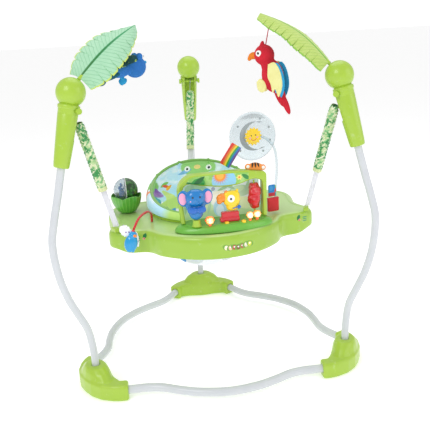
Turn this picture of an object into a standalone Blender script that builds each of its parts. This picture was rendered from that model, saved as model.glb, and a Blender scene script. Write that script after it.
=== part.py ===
"""Activity jumper: a seat in a play tray, hung on three springs from a three-legged frame.

Metres, +Z up, +Y towards the rear leg, -Y towards the play console.
The origin is on the floor, under the middle of the whole object.
"""

import math

import bmesh
import bpy
import numpy as np
from mathutils import Matrix, Vector

# ---------------------------------------------------------------- driving dimensions
LEGS = {"left": 210.0, "right": 330.0, "rear": 90.0}  # bearing of each leg, degrees
HUB_R = 0.445  # from the frame's middle to each hub
HUB_ARM_H = 0.050
HUB_TOP_H = 0.083
BASE_TUBE_D = 0.025
BASE_TUBE_Z = 0.027
UPRIGHT_D = 0.022
TOWER_FOOT = (0.480, 0.692)  # (r, z) where the upright enters the tower
TOWER_BALL = (0.4275, 0.890)  # (r, z) of the centre of the ball on the tower
BALL_R = 0.0405
SLEEVE_TOP = (0.415, 0.806)
SLEEVE_SHARE = 0.62  # how far down the strap line the sleeve reaches
HOOK_R = 0.0084
COIL_R = 0.0088
WIRE_R = 0.0013
SLEEVE_D = 0.031
STRAP_W = 0.019
TRAY_YAW = 5.0  # the hanging tray is turned a little on its straps
TRAY_BOTTOM = 0.394
TRAY_TOP = 0.465
TRAY_WALL = 0.003
SEAT_Y = 0.050  # the seat's axis, behind the frame's middle
SEAT_HOLE_R = 0.172
GAP = 0.0003  # between faces that touch

# The frame's rear tube reaches y = 0.544 and its front tube y = -0.3775.
CENTRE_Y = -(0.544 - 0.3775) / 2

# ---------------------------------------------------------------- scene and helpers
for old in list(bpy.data.objects):
    bpy.data.objects.remove(old, do_unlink=True)

parts = bpy.data.collections.new("activity_jumper")
cutters = bpy.data.collections.new("cutters")
bpy.context.scene.collection.children.link(parts)
bpy.context.scene.collection.children.link(cutters)


def material(name, colour, roughness=0.45, metallic=0.0):
    mat = bpy.data.materials.new(name)
    mat.use_nodes = True
    shader = mat.node_tree.nodes["Principled BSDF"]
    shader.inputs["Base Color"].default_value = (*colour, 1.0)
    shader.inputs["Roughness"].default_value = roughness
    shader.inputs["Metallic"].default_value = metallic
    return mat


LIME = material("lime_plastic", (0.46, 0.69, 0.08), 0.35)
GREEN = material("green_plastic", (0.20, 0.53, 0.06), 0.35)
LEAF = material("leaf_plastic", (0.50, 0.65, 0.15), 0.5)
MINT = material("mint_plastic", (0.34, 0.65, 0.42), 0.5)
WHITE = material("white_paint", (0.80, 0.83, 0.85), 0.3)
WEBBING = material("webbing", (0.80, 0.80, 0.90), 0.8)
STEEL = material("spring_steel", (0.55, 0.56, 0.58), 0.3, 1.0)
PRINT = material("leaf_print_fabric", (0.55, 0.72, 0.35), 0.9)
SKY = material("seat_fabric", (0.46, 0.70, 0.90), 0.9)
RED = material("red_plastic", (0.70, 0.03, 0.04), 0.35)
BLUE = material("blue_plastic", (0.02, 0.25, 0.75), 0.35)
AQUA = material("aqua_plastic", (0.02, 0.45, 0.80), 0.3)
YELLOW = material("yellow_plastic", (0.90, 0.65, 0.05), 0.35)
ORANGE = material("orange_plastic", (0.85, 0.30, 0.04), 0.35)
CLEAR = material("clear_plastic", (0.85, 0.88, 0.90), 0.1)
PLUSH_RED = material("red_plush", (0.65, 0.03, 0.05), 0.95)
PLUSH_BLUE = material("blue_plush", (0.03, 0.20, 0.50), 0.95)


def empty(name, location, parent=None, rotation=(0.0, 0.0, 0.0)):
    """An axis frame that carries other pieces."""
    frame = bpy.data.objects.new(name, None)
    frame.location = location
    frame.rotation_euler = rotation
    frame.parent = parent
    parts.objects.link(frame)
    return frame


def solid(name, bm, mat, parent, location=(0, 0, 0), rotation=(0, 0, 0), smooth=35.0):
    """Makes an object from a bmesh, which is freed."""
    mesh = bpy.data.meshes.new(name)
    bm.to_mesh(mesh)
    bm.free()
    if smooth:
        mesh.shade_smooth()
        mesh.set_sharp_from_angle(angle=math.radians(smooth))
    obj = bpy.data.objects.new(name, mesh)
    if mat:
        mesh.materials.append(mat)
        parts.objects.link(obj)
    else:
        cutters.objects.link(obj)
        obj.hide_render = True
        obj.display_type = "WIRE"
    obj.parent = parent
    obj.location = location
    obj.rotation_euler = rotation
    return obj


def box_mesh(size, centre=(0, 0, 0), turn=None):
    bm = bmesh.new()
    bmesh.ops.create_cube(bm, size=1.0)
    bmesh.ops.scale(bm, vec=size, verts=bm.verts)
    if turn is not None:
        bmesh.ops.rotate(bm, verts=bm.verts, matrix=turn)
    bmesh.ops.translate(bm, vec=centre, verts=bm.verts)
    return bm


def ball_mesh(radii, centre=(0, 0, 0), turn=None, around=10, rows=6):
    bm = bmesh.new()
    bmesh.ops.create_uvsphere(bm, u_segments=around, v_segments=rows, radius=1.0)
    bmesh.ops.scale(bm, vec=radii, verts=bm.verts)
    if turn is not None:
        bmesh.ops.rotate(bm, verts=bm.verts, matrix=turn)
    bmesh.ops.translate(bm, vec=centre, verts=bm.verts)
    return bm


def rod_mesh(radius, length, centre=(0, 0, 0), axis=(0, 0, 1), sides=16, top=None):
    """A cylinder, or a cone with another top radius, along an axis."""
    bm = bmesh.new()
    upper = radius if top is None else top
    bmesh.ops.create_cone(
        bm, cap_ends=True, segments=sides, radius1=radius, radius2=upper, depth=length
    )
    turn = Vector((0, 0, 1)).rotation_difference(Vector(axis)).to_matrix()
    bmesh.ops.rotate(bm, verts=bm.verts, matrix=turn)
    bmesh.ops.translate(bm, vec=centre, verts=bm.verts)
    return bm


def combine(obj, bm, operation="UNION"):
    """Adds a bmesh to an object, or cuts it away, with a Boolean in the object's own frame."""
    other = solid(f"{obj.name}_{operation.lower()}_{len(obj.modifiers)}", bm, None, obj)
    boolean = obj.modifiers.new(operation.title(), "BOOLEAN")
    boolean.operation = operation
    boolean.solver = "EXACT"
    boolean.object = other
    return obj


def cut(obj, bm):
    return combine(obj, bm, "DIFFERENCE")


def prism_mesh(outline, thickness, plane="XY"):
    """A flat outline extruded by half its thickness to each side of its plane."""
    bm = bmesh.new()
    half = thickness / 2
    if plane == "XY":
        corners = [bm.verts.new((a, b, -half)) for a, b in outline]
        push = (0, 0, thickness)
    else:
        corners = [bm.verts.new((a, half, b)) for a, b in outline]
        push = (0, -thickness, 0)
    face = bm.faces.new(corners)
    extruded = bmesh.ops.extrude_face_region(bm, geom=[face])
    moved = [v for v in extruded["geom"] if isinstance(v, bmesh.types.BMVert)]
    bmesh.ops.translate(bm, vec=push, verts=moved)
    bmesh.ops.recalc_face_normals(bm, faces=bm.faces)
    return bm


def loft_mesh(rings, closed_ends=True):
    """Skins a stack of rings that have the same number of points."""
    bm = bmesh.new()
    rows = [[bm.verts.new(point) for point in ring] for ring in rings]
    count = len(rings[0])
    for lower, upper in zip(rows, rows[1:]):
        for i in range(count):
            j = (i + 1) % count
            bm.faces.new((lower[i], lower[j], upper[j], upper[i]))
    if closed_ends:
        bm.faces.new(rows[0][::-1])
        bm.faces.new(rows[-1])
    bmesh.ops.recalc_face_normals(bm, faces=bm.faces)
    return bm


def smooth_path(points, count):
    """Points spread evenly along a Catmull-Rom curve through the given ones."""
    knots = np.asarray(points, float)
    ends = np.vstack([2 * knots[0] - knots[1], knots, 2 * knots[-1] - knots[-2]])
    fine = []
    for a, b, c, d in zip(ends, ends[1:], ends[2:], ends[3:]):
        t = np.linspace(0, 1, 24, endpoint=False)[:, None]
        fine.append(
            0.5 * (2 * b + (c - a) * t + (2 * a - 5 * b + 4 * c - d) * t**2
                   + (3 * b - a - 3 * c + d) * t**3)
        )
    fine = np.vstack([*fine, knots[-1:]])
    run = np.r_[0, np.cumsum(np.linalg.norm(np.diff(fine, axis=0), axis=1))]
    even = np.linspace(0, run[-1], count)
    return np.stack([np.interp(even, run, fine[:, k]) for k in range(3)], axis=1)


def tube(name, points, radius, mat, parent, resolution=4, location=(0, 0, 0)):
    """A round bar along a poly line, with capped ends."""
    curve = bpy.data.curves.new(name, "CURVE")
    curve.dimensions = "3D"
    curve.bevel_depth = radius
    curve.bevel_resolution = resolution
    curve.use_fill_caps = True
    spline = curve.splines.new("POLY")
    spline.points.add(len(points) - 1)
    for target, point in zip(spline.points, points):
        target.co = (*point, 1.0)
    curve.materials.append(mat)
    obj = bpy.data.objects.new(name, curve)
    obj.parent = parent
    obj.location = location
    parts.objects.link(obj)
    return obj


def turned(name, profile, mat, parent, sides=24, location=(0, 0, 0), rotation=(0, 0, 0)):
    """A profile of (radius, height) points, top to bottom, turned about Z."""
    bm = bmesh.new()
    verts = [bm.verts.new((r, 0, z)) for r, z in profile]
    for a, b in zip(verts, verts[1:]):
        bm.edges.new((a, b))
    obj = solid(name, bm, mat, parent, location, rotation, smooth=0)
    screw = obj.modifiers.new("Turn", "SCREW")
    screw.steps = screw.render_steps = sides
    screw.use_merge_vertices = True
    screw.merge_threshold = 0.0001
    screw.use_smooth_shade = True
    return obj


def arc(centre, radius, start, end, count):
    """Points of a circular arc in a plane, angles in degrees."""
    angles = np.radians(np.linspace(start, end, count))
    return [(centre[0] + radius * math.cos(a), centre[1] + radius * math.sin(a)) for a in angles]


origin = empty("jumper_origin", (0, CENTRE_Y, 0))
leg = {
    side: empty(f"leg_frame_{side}", (0, 0, 0), origin, (0, 0, math.radians(bearing)))
    for side, bearing in LEGS.items()
}  # in each leg frame +X points outwards along the leg


# ---------------------------------------------------------------- floor frame
def hub(side):
    """A helmet-shaped foot: a low boomerang with a raised oval boss for the upright."""
    half = [(0.0425, 0.0), (0.040, 0.035), (0.027, 0.070), (0.004, 0.100), (-0.0147, 0.116),
            (-0.0355, 0.128), (-0.0565, 0.092), (-0.036, 0.080), (-0.0345, 0.050), (-0.040, 0.0)]
    outline = half + [(x, -y) for x, y in half[-2:0:-1]]
    bm = prism_mesh(outline, HUB_ARM_H)
    bmesh.ops.translate(bm, vec=(0, 0, HUB_ARM_H / 2), verts=bm.verts)
    body = solid(f"hub_{side}", bm, LIME, leg[side], (HUB_R, 0, 0))
    bevel = body.modifiers.new("Rounded", "BEVEL")
    bevel.width = 0.005
    bevel.segments = 1
    turn = np.radians(np.arange(0, 360, 24))
    rings = [
        [(along * math.cos(a), across * math.sin(a), z) for a in turn]
        for along, across, z in (
            (0.0390, 0.080, 0.001), (0.0385, 0.074, 0.050), (0.0345, 0.056, 0.070),
            (0.0300, 0.0400, HUB_TOP_H - 0.003), (0.0270, 0.0355, HUB_TOP_H),
        )
    ]
    combine(body, loft_mesh(rings))
    cut(body, rod_mesh(UPRIGHT_D / 2 + 0.0008, 0.060, (0, 0, 0.070), sides=14))
    for end in (-1, 1):
        along = (0.866 * 1.0, -0.5 * end, 0)
        socket = (-0.046 + 0.866 * 0.006, end * (0.110 - 0.5 * 0.006), BASE_TUBE_Z)
        cut(body, rod_mesh(BASE_TUBE_D / 2 + 0.0008, 0.060, socket, along, 14))


def base_tube(name, bearing):
    """One of three floor tubes, bowed outwards between two hubs."""
    half = [(0.302, -0.2948), (0.270, -0.2950), (0.232, -0.2955), (0.190, -0.3050),
            (0.140, -0.3300), (0.080, -0.3530)]
    path = [(-x, y, BASE_TUBE_Z) for x, y in half]
    path += [(0, -0.365, BASE_TUBE_Z)] + [(x, y, BASE_TUBE_Z) for x, y in half[::-1]]
    turn = empty(f"{name}_frame", (0, 0, 0), origin, (0, 0, math.radians(bearing)))
    tube(name, smooth_path(path, 15), BASE_TUBE_D / 2, WHITE, turn, 3)


def upright(side):
    """The bowed leg from a hub to its tower."""
    path = [(0.445, 0.045), (0.445, 0.080), (0.447, 0.135), (0.457, 0.200), (0.482, 0.258),
            (0.506, 0.315), (0.526, 0.392), (0.533, 0.480), (0.520, 0.545), (0.501, 0.612),
            TOWER_FOOT, (0.4754, 0.7094)]
    points = smooth_path([(r, 0, z) for r, z in path], 15)
    tube(f"upright_{side}", points, UPRIGHT_D / 2, WHITE, leg[side], 3)


TOWER_LEAN = math.atan2(TOWER_BALL[0] - TOWER_FOOT[0], TOWER_BALL[1] - TOWER_FOOT[1])
TOWER_LENGTH = math.hypot(TOWER_BALL[0] - TOWER_FOOT[0], TOWER_BALL[1] - TOWER_FOOT[1])
PIN_UP = 0.158  # height of the spring pin along the tower
PIN_IN = 0.0138  # its offset from the tower's axis, towards the seat


def tower(side):
    """The tapered shank with its ball, hollowed on the inner side for the spring."""
    stem = empty(
        f"tower_frame_{side}", (TOWER_FOOT[0], 0, TOWER_FOOT[1]), leg[side], (0, TOWER_LEAN, 0)
    )
    top = arc((0, TOWER_LENGTH), BALL_R, 90, -50, 9)
    profile = [(0.0, TOWER_LENGTH + BALL_R)] + top[1:]
    profile += [(0.0305, 0.1690), (0.0305, 0.1630), (0.0290, 0.1610), (0.0225, 0.0200),
                (0.0210, 0.0030), (0.0180, 0.0), (0.0, 0.0)]
    body = turned(f"tower_{side}", profile, LIME, stem, 20)
    cut(body, rod_mesh(UPRIGHT_D / 2 + 0.0008, 0.044, (0, 0, 0), sides=14))
    cut(body, box_mesh((0.050, 0.036, 0.096), (-0.027, 0, 0.126)))
    cut(body, rod_mesh(0.0045, 0.090, (-PIN_IN, 0, PIN_UP), (0, 1, 0), 12))
    pin = solid(
        f"spring_pin_{side}", rod_mesh(0.0040, 0.062, (0, 0, 0), (0, 1, 0), 10), STEEL, stem,
        (-PIN_IN, 0, PIN_UP),
    )
    for end in (-1, 1):
        combine(pin, rod_mesh(0.0085, 0.007, (0, end * 0.0335, 0), (0, 1, 0), 14))


for side in LEGS:
    hub(side)
    upright(side)
    tower(side)
for name, bearing in (("base_tube_front", 0), ("base_tube_right", 120), ("base_tube_left", 240)):
    base_tube(name, bearing)

# ---------------------------------------------------------------- suspension
TRAY_ARMS = {"left": 200.0, "right": 340.0, "rear": 90.0}  # bearings on the tray
ANCHOR_R = 0.317
ANCHOR_TOP = 0.478
STRAP_TURN = {"left": -45, "right": 45, "rear": 0}  # each strap's turn about its own line


def bearing_point(radius, degrees, z):
    angle = math.radians(degrees)
    return Vector((radius * math.cos(angle), radius * math.sin(angle), z))


def strap_line(side):
    """The top and bottom of the straight line that a sleeve and its strap follow."""
    top = bearing_point(SLEEVE_TOP[0], LEGS[side], SLEEVE_TOP[1])
    bottom = bearing_point(ANCHOR_R, TRAY_ARMS[side] + TRAY_YAW, ANCHOR_TOP)
    return top, bottom


def suspension(side):
    top, bottom = strap_line(side)
    down = (bottom - top).normalized()
    line = empty(f"strap_frame_{side}", top, origin)
    line.rotation_mode = "QUATERNION"
    # +Z of this frame runs down the strap, and +Y across the leg.
    across = Vector((-math.sin(math.radians(LEGS[side])), math.cos(math.radians(LEGS[side])), 0))
    across = (across - down * across.dot(down)).normalized()
    basis = Matrix((across.cross(down), across, down)).transposed()
    line.rotation_quaternion = basis.to_quaternion()
    reach = (bottom - top).length
    sleeve_end = reach * SLEEVE_SHARE
    sleeve = solid(
        f"sleeve_{side}", rod_mesh(SLEEVE_D / 2, sleeve_end, (0, 0, sleeve_end / 2), sides=16),
        PRINT, line,
    )
    cut(sleeve, rod_mesh(SLEEVE_D / 2 - 0.002, sleeve_end + 0.01, (0, 0, sleeve_end / 2), sides=16))
    # Spring: a hook over the pin, a coil, and a straight tail.
    lean = Matrix.Rotation(TOWER_LEAN, 3, "Y")
    spot = lean @ Vector((-PIN_IN, 0, PIN_UP)) + Vector((TOWER_FOOT[0], 0, TOWER_FOOT[1]))
    pin_world = Matrix.Rotation(math.radians(LEGS[side]), 3, "Z") @ spot
    pin = basis.transposed() @ (pin_world - top)
    hook = [(pin.x + HOOK_R * math.cos(a), 0, pin.z - HOOK_R * math.sin(a))
            for a in np.radians(np.linspace(-60, 180, 5))]
    turns, per_turn = 9, 6
    steps = turns * per_turn
    coil_top, coil_end = 0.006, sleeve_end - 0.022
    coil = [(COIL_R * math.cos(math.tau * i / per_turn + math.pi),
             COIL_R * math.sin(math.tau * i / per_turn + math.pi),
             coil_top + (coil_end - coil_top) * i / steps) for i in range(steps + 1)]
    tail = [(-0.004, 0, coil_end + 0.004), (0, 0, coil_end + 0.010)]
    tube(f"spring_{side}", hook + coil + tail, WIRE_R, STEEL, line, 1)
    start, stop = coil_end + 0.0125, reach - 0.0034
    solid(
        f"strap_{side}",
        box_mesh((0.002, STRAP_W, stop - start), (0, 0, (start + stop) / 2)),
        WEBBING, line, (0, 0, 0), (0, 0, math.radians(STRAP_TURN[side])),
    )


for side in LEGS:
    suspension(side)

# ---------------------------------------------------------------- play tray
tray = empty("tray_frame", (0, 0, 0), origin, (0, 0, math.radians(TRAY_YAW)))
seat = empty("seat_frame", (0, SEAT_Y, 0), tray)

# Half of the tray's outline: degrees from its front, and distance from the frame's middle.
TRAY_HALF = [(0, 0.264), (15, 0.263), (27, 0.259), (36, 0.256), (48, 0.254), (54, 0.252),
             (60, 0.225), (66, 0.300), (72, 0.352), (78, 0.335), (85, 0.302), (92, 0.292),
             (101, 0.312), (111, 0.338), (121, 0.344), (131, 0.320), (140, 0.278),
             (148, 0.260), (158, 0.280), (168, 0.314), (180, 0.326)]


def tray_outline(count, inset=0.0):
    """The tray's outline as points about the frame's middle, moved inwards by an inset."""
    angles, radii = np.array(TRAY_HALF).T
    angles = np.r_[-angles[:0:-1], angles]
    radii = np.r_[radii[:0:-1], radii]
    at = np.linspace(-180, 180, count, endpoint=False)
    radius = np.interp(at, angles, radii)
    radius = (np.roll(radius, 1) + 2 * radius + np.roll(radius, -1)) / 4
    turn = np.radians(at - 90)
    points = np.stack([radius * np.cos(turn), radius * np.sin(turn)], axis=1)
    ahead = np.roll(points, -1, axis=0) - np.roll(points, 1, axis=0)
    normal = np.stack([ahead[:, 1], -ahead[:, 0]], axis=1)
    return points - inset * normal / np.linalg.norm(normal, axis=1)[:, None]


def tray_ring(count, inset, share, z, hole):
    """A ring of the tray's skin, from its outline (share 0) to the seat hole (share 1)."""
    rim = tray_outline(count, inset)
    away = rim - (0, SEAT_Y)
    inner = (0, SEAT_Y) + hole * away / np.linalg.norm(away, axis=1)[:, None]
    flat = rim + (inner - rim) * share
    return [(x, y, z) for x, y in flat]


def tray_shell():
    """The moulded upper shell: outer wall, top, and the short wall round the seat hole."""
    count = 60
    layers = [(0.0, 0.0, TRAY_BOTTOM), (0.0, 0.0, 0.448), (0.003, 0.0, 0.458),
              (0.010, 0.0, TRAY_TOP - 0.001), (0.016, 0.0, TRAY_TOP), (0.016, 1.0, TRAY_TOP),
              (0.016, 1.0, 0.436)]
    rings = [tray_ring(count, i, s, z, SEAT_HOLE_R) for i, s, z in layers]
    shell = solid("tray_shell", loft_mesh(rings, closed_ends=False), LIME, tray)
    wall = shell.modifiers.new("Wall", "SOLIDIFY")
    wall.thickness = TRAY_WALL
    wall.offset = -1
    wall.use_even_offset = True


def tray_base():
    """The cover that closes the tray from below, with the track that the seat ring turns in."""
    count = 60
    thick = 0.003
    levels = (TRAY_BOTTOM, TRAY_BOTTOM + thick)
    outer = [tray_ring(count, 0.0045, 0.0, z, SEAT_HOLE_R) for z in levels]
    cover = solid("tray_base", loft_mesh(outer), LIME, tray)
    low, high = TRAY_BOTTOM + 0.0005, 0.4600
    track = rod_mesh(0.1685, high - low, (0, SEAT_Y, (low + high) / 2), sides=36)
    combine(cover, track)
    cut(cover, rod_mesh(0.1600, 0.2, (0, SEAT_Y, high), sides=36))


tray_shell()
tray_base()

# The seat ring hangs in the track by its flange and turns on it.
turned("seat_ring", [(0.1525, 0.4720), (0.1770, 0.4720), (0.1785, 0.4700), (0.1785, 0.4655 + GAP),
                     (0.1590, 0.4655 + GAP), (0.1590, 0.4200), (0.1525, 0.4200),
                     (0.1525, 0.4720)], GREEN, seat, 36)


def anchor(side):
    """The lug on a tray arm that holds a strap's end."""
    spot = bearing_point(ANCHOR_R, TRAY_ARMS[side], 0)
    turn = math.radians(TRAY_ARMS[side])
    bm = box_mesh((0.016, 0.028, ANCHOR_TOP - TRAY_TOP - 2 * GAP))
    lug = solid(f"strap_anchor_{side}", bm, LIME, tray,
                (spot.x - 0.004, spot.y, (ANCHOR_TOP + TRAY_TOP) / 2), (0, 0, turn))
    bevel = lug.modifiers.new("Rounded", "BEVEL")
    bevel.width = 0.002
    bevel.segments = 1


for side in LEGS:
    anchor(side)


# ---------------------------------------------------------------- seat
def seat_fabric():
    """The hanging bucket and the padded collar that rises to a high back."""
    count = 30
    turn = np.radians(np.arange(count) * 360 / count)
    back = (0.5 + 0.5 * np.sin(turn)) ** 1.4  # 0 at the front, 1 at the back

    def ring(radius, low, rise, squeeze=1.0):
        return [(radius * math.cos(a), radius * squeeze * math.sin(a), low + rise * b)
                for a, b in zip(turn, back)]

    rings = [ring(0.168, 0.492, 0.100), ring(0.188, 0.4865, 0.075), ring(0.186, 0.4760, 0.030),
             ring(0.1515, 0.4740, 0.004), ring(0.1480, 0.4400, 0.0), ring(0.135, 0.3800, 0.0),
             ring(0.110, 0.3200, 0.0, 0.85), ring(0.070, 0.2850, 0.0, 0.8)]
    bm = loft_mesh(rings, closed_ends=False)
    lowest = [v for v in bm.verts if v.co.z < 0.286]
    edge = [e for e in bm.edges if all(v in lowest for v in e.verts)]
    bmesh.ops.holes_fill(bm, edges=edge)
    bmesh.ops.recalc_face_normals(bm, faces=bm.faces)
    fabric = solid("seat_fabric", bm, SKY, seat)
    wall = fabric.modifiers.new("Cloth", "SOLIDIFY")
    wall.thickness = 0.004
    wall.offset = -1
    for way in (-1, 1):
        direction = Vector((way * 0.55, -0.72, -0.45)).normalized()
        spot = Vector((way * 0.070, -0.080, 0.335))
        cut(fabric, rod_mesh(0.046, 0.090, spot, direction, 14))


seat_fabric()

# ---------------------------------------------------------------- play console
CONSOLE_X = 0.015
CONSOLE_TOP = 0.4870
ARCH_Y = -0.1685
ARCH_DEPTH = 0.034
ARCH_HALF = 0.133
ARCH_TOP = 0.630
BUTTONS = {"left": 0.000, "right": 0.050}
BUTTON_Y = -0.2180
ELEPHANT = (-0.088, -0.212)
console = empty("console_frame", (CONSOLE_X, 0, 0), tray)


def console_base():
    """A low domed plate on the front of the tray, with its back cut to the seat ring."""
    turn = np.radians(np.arange(0, 360, 15))
    rings = []
    for grow, z in ((1.0, TRAY_TOP + GAP), (0.99, 0.4720), (0.93, 0.4800), (0.84, CONSOLE_TOP)):
        rings.append([(0.148 * grow * math.cos(a), -0.176 + 0.062 * grow * math.sin(a), z)
                      for a in turn])
    base = solid("console_base", loft_mesh(rings), GREEN, console)
    cut(base, rod_mesh(0.1920, 0.06, (-CONSOLE_X, SEAT_Y, 0.48), sides=36))
    combine(base, rod_mesh(0.0130, 0.0240, (*ELEPHANT, CONSOLE_TOP + 0.0060), sides=18, top=0.0110))
    for x in BUTTONS.values():
        cut(base, rod_mesh(0.0080, 0.016, (x, BUTTON_Y, CONSOLE_TOP), sides=16))


console_base()
for side, x in BUTTONS.items():
    turned(
        f"button_{side}",
        [(0.0, 0.0052), (0.0045, 0.0044), (0.0070, 0.0020), (0.0070, -0.0040), (0.0, -0.0040)],
        YELLOW, console, 16, (x, BUTTON_Y, CONSOLE_TOP),
    )


def console_arch():
    """The hoop over the toys: two legs and a deep top band with a dipped lower edge."""
    foot = CONSOLE_TOP + GAP
    outer = [(-ARCH_HALF + 0.006, foot), (-ARCH_HALF, 0.575)]
    outer += arc((-ARCH_HALF + 0.050, 0.580), 0.050, 172, 95, 6)
    outer += [(0.060, ARCH_TOP), (ARCH_HALF - 0.012, 0.622)]
    outer += arc((ARCH_HALF - 0.012, 0.610), 0.012, 80, 0, 4)
    outer += [(ARCH_HALF - 0.002, foot)]
    inner = [(ARCH_HALF - 0.014, foot), (ARCH_HALF - 0.012, 0.596)]
    inner += [(0.090, 0.602), (0.045, 0.590), (0.000, 0.588), (-0.060, 0.596), (-0.095, 0.604)]
    inner += [(-ARCH_HALF + 0.011, 0.585), (-ARCH_HALF + 0.017, foot)]
    solid("console_arch", prism_mesh(outer + inner, ARCH_DEPTH, "XZ"), LIME, console,
          (0, ARCH_Y, 0))


console_arch()
solid("scenery_panel", box_mesh((0.236, 0.0015, 0.108), (0, 0, 0)), SKY, console,
      (0.0, ARCH_Y + 0.0222, CONSOLE_TOP + 0.0545))

LAMPS = {"left": (-0.045, -0.226), "right": (0.092, -0.212)}
for side, (x, y) in LAMPS.items():
    turned(f"lamp_{side}", [(0.0, 0.0050), (0.0042, 0.0036), (0.0060, 0.0), (0.0, 0.0)], ORANGE,
           console, 14, (x, y, CONSOLE_TOP - 0.0035 + 0.0040))


def elephant():
    """The elephant that nods on the console's post."""
    pivot = empty("elephant_pivot", (*ELEPHANT, CONSOLE_TOP + 0.0190), console)
    body = solid("elephant", ball_mesh((0.021, 0.017, 0.023), (0, 0, 0.0238)), BLUE, pivot)
    combine(body, ball_mesh((0.025, 0.019, 0.024), (0, -0.002, 0.068)))
    for way in (-1, 1):
        combine(body, ball_mesh((0.017, 0.005, 0.021), (way * 0.033, 0.002, 0.070)))
    combine(body, rod_mesh(0.006, 0.034, (0, -0.020, 0.050), (0, -0.35, -1), 10))


def bird():
    """The yellow bird on its red box."""
    spot = (0.012, -0.200)
    solid("bird_box", box_mesh((0.062, 0.022, 0.030), (0, 0, 0.0153)), RED, console,
          (*spot, CONSOLE_TOP))
    pivot = empty("bird_pivot", (*spot, CONSOLE_TOP + 0.0306), console)
    body = solid("bird", ball_mesh((0.025, 0.013, 0.030), (0.010, 0, 0.0305)), YELLOW, pivot)
    combine(body, ball_mesh((0.018, 0.009, 0.013), (-0.021, 0, 0.034)))
    combine(body, ball_mesh((0.010, 0.010, 0.010), (0.006, -0.006, 0.038)))


elephant()
bird()

# Twisted roller on a peg under the arch.
ROLLER = (0.096, ARCH_Y - 0.005)
ROLLER_LOW, ROLLER_HIGH = 0.512, 0.588


def roller():
    turn = np.arange(10) / 10 * math.tau
    rings = []
    for i in range(9):
        share = i / 8
        z = ROLLER_LOW + (ROLLER_HIGH - ROLLER_LOW) * share
        body = 0.0192 * math.sin(math.pi * (0.12 + 0.76 * share)) ** 0.5
        twist = share * math.radians(150)
        rings.append([(r * math.cos(a), r * math.sin(a), z) for a in turn
                      for r in [body * (1 + 0.16 * math.cos(3 * (a - twist)))]])
    piece = solid("roller", loft_mesh(rings), RED, console, (*ROLLER, 0))
    cut(piece, rod_mesh(0.0040, 0.2, (0, 0, 0.55), sides=10))
    peg = solid("roller_peg", rod_mesh(0.0030, 0.1100, (0, 0, 0), sides=8), LIME, console,
                (*ROLLER, CONSOLE_TOP + GAP + 0.0550))
    combine(peg, rod_mesh(0.0060, 0.010, (0, 0, -0.0500), sides=10))


roller()

tiger = solid("tiger_head", ball_mesh((0.028, 0.006, 0.020), (0, 0, 0)), ORANGE, console,
              (0.104, ARCH_Y + 0.004, 0.6275), (0, math.radians(7.5), 0))
for way in (-1, 1):
    combine(tiger, ball_mesh((0.010, 0.004, 0.010), (way * 0.023, 0, 0.005), around=10, rows=6))
cut(tiger, box_mesh((0.1, 0.05, 0.05), (0, 0, -0.0270)))

# ---------------------------------------------------------------- side toys
# Clear disc spinner on a bent stand, turned to face the seat.
SPIN_C = Vector((0.146, -0.045, 0.703))
SPIN_R = 0.076
spinner = empty("spinner_frame", SPIN_C, tray, (0, math.radians(-4), math.radians(6)))


def spinner_toy():
    disc = solid("spinner_disc", rod_mesh(SPIN_R, 0.006, axis=(0, 1, 0), sides=24), CLEAR, spinner)
    cut(disc, rod_mesh(0.0042, 0.02, axis=(0, 1, 0), sides=12))
    sun = solid("sun_face", rod_mesh(0.029, 0.006, (0, -0.0064, 0), (0, 1, 0), 18), YELLOW, spinner)
    combine(sun, rod_mesh(0.0038, 0.0165, (0, -0.0012, 0), (0, 1, 0), 12))


def spinner_stand():
    """A clear bent arm from the tray up behind the disc to its axle."""
    path = [(0.205, -0.062, 0.4705), (0.210, -0.056, 0.520), (0.224, -0.036, 0.600),
            (0.219, -0.024, 0.660), (0.188, -0.024, 0.693), (0.146, -0.0335, 0.703)]
    tube("spinner_stand", smooth_path(path, 12), 0.0042, CLEAR, tray, 2)


spinner_toy()
spinner_stand()
rainbow = solid("rainbow_panel", box_mesh((0.034, 0.003, 0.072), (0, 0, 0)), YELLOW, tray,
                (0.062, -0.096, 0.660), (0, math.radians(35), 0))

# Red book pouch with a blue page that swings.
book = empty("book_frame", (0.190, -0.092, TRAY_TOP), tray, (0, 0, math.radians(12)))
solid("book_pouch", box_mesh((0.040, 0.012, 0.050), (0.002, 0, 0.0253)), RED, book)
page = empty("book_page_pivot", (-0.014, 0.0, 0.0520), book)
solid("book_page", box_mesh((0.028, 0.004, 0.038), (0.0142, 0, 0.0195)), BLUE, page)

# Clear ball with a frog inside, in a leaf dish.
BALL_TOY = Vector((-0.249, 0.097, 0.5380))
BALL_TOY_R = 0.0395


def ball_toy():
    turned(
        "ball_dish",
        [(0.0440, 0.0580), (0.0475, 0.0600), (0.0500, 0.0560), (0.0440, 0.0260),
         (0.0260, GAP), (0.0, GAP), (0.0, 0.0120), (0.0220, 0.0160), (0.0405, 0.0340),
         (0.0440, 0.0580)],
        GREEN, tray, 20, (BALL_TOY.x, BALL_TOY.y, TRAY_TOP),
    )
    spot = empty("ball_pivot", BALL_TOY, tray)
    back = solid("ball_back", ball_mesh((BALL_TOY_R,) * 3, around=16, rows=10), GREEN, spot)
    cut(back, box_mesh((0.1, 0.1, 0.1), (GAP - 0.05, 0, 0)))
    front = solid("ball_window", ball_mesh((BALL_TOY_R,) * 3, around=16, rows=10), CLEAR, spot)
    cut(front, box_mesh((0.1, 0.1, 0.1), (0.05, 0, 0)))
    cut(front, ball_mesh((BALL_TOY_R - 0.002,) * 3, around=16, rows=10))
    solid("ball_frog", ball_mesh((0.013, 0.015, 0.026), (-0.0137, 0, 0)), AQUA, spot)


ball_toy()

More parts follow.
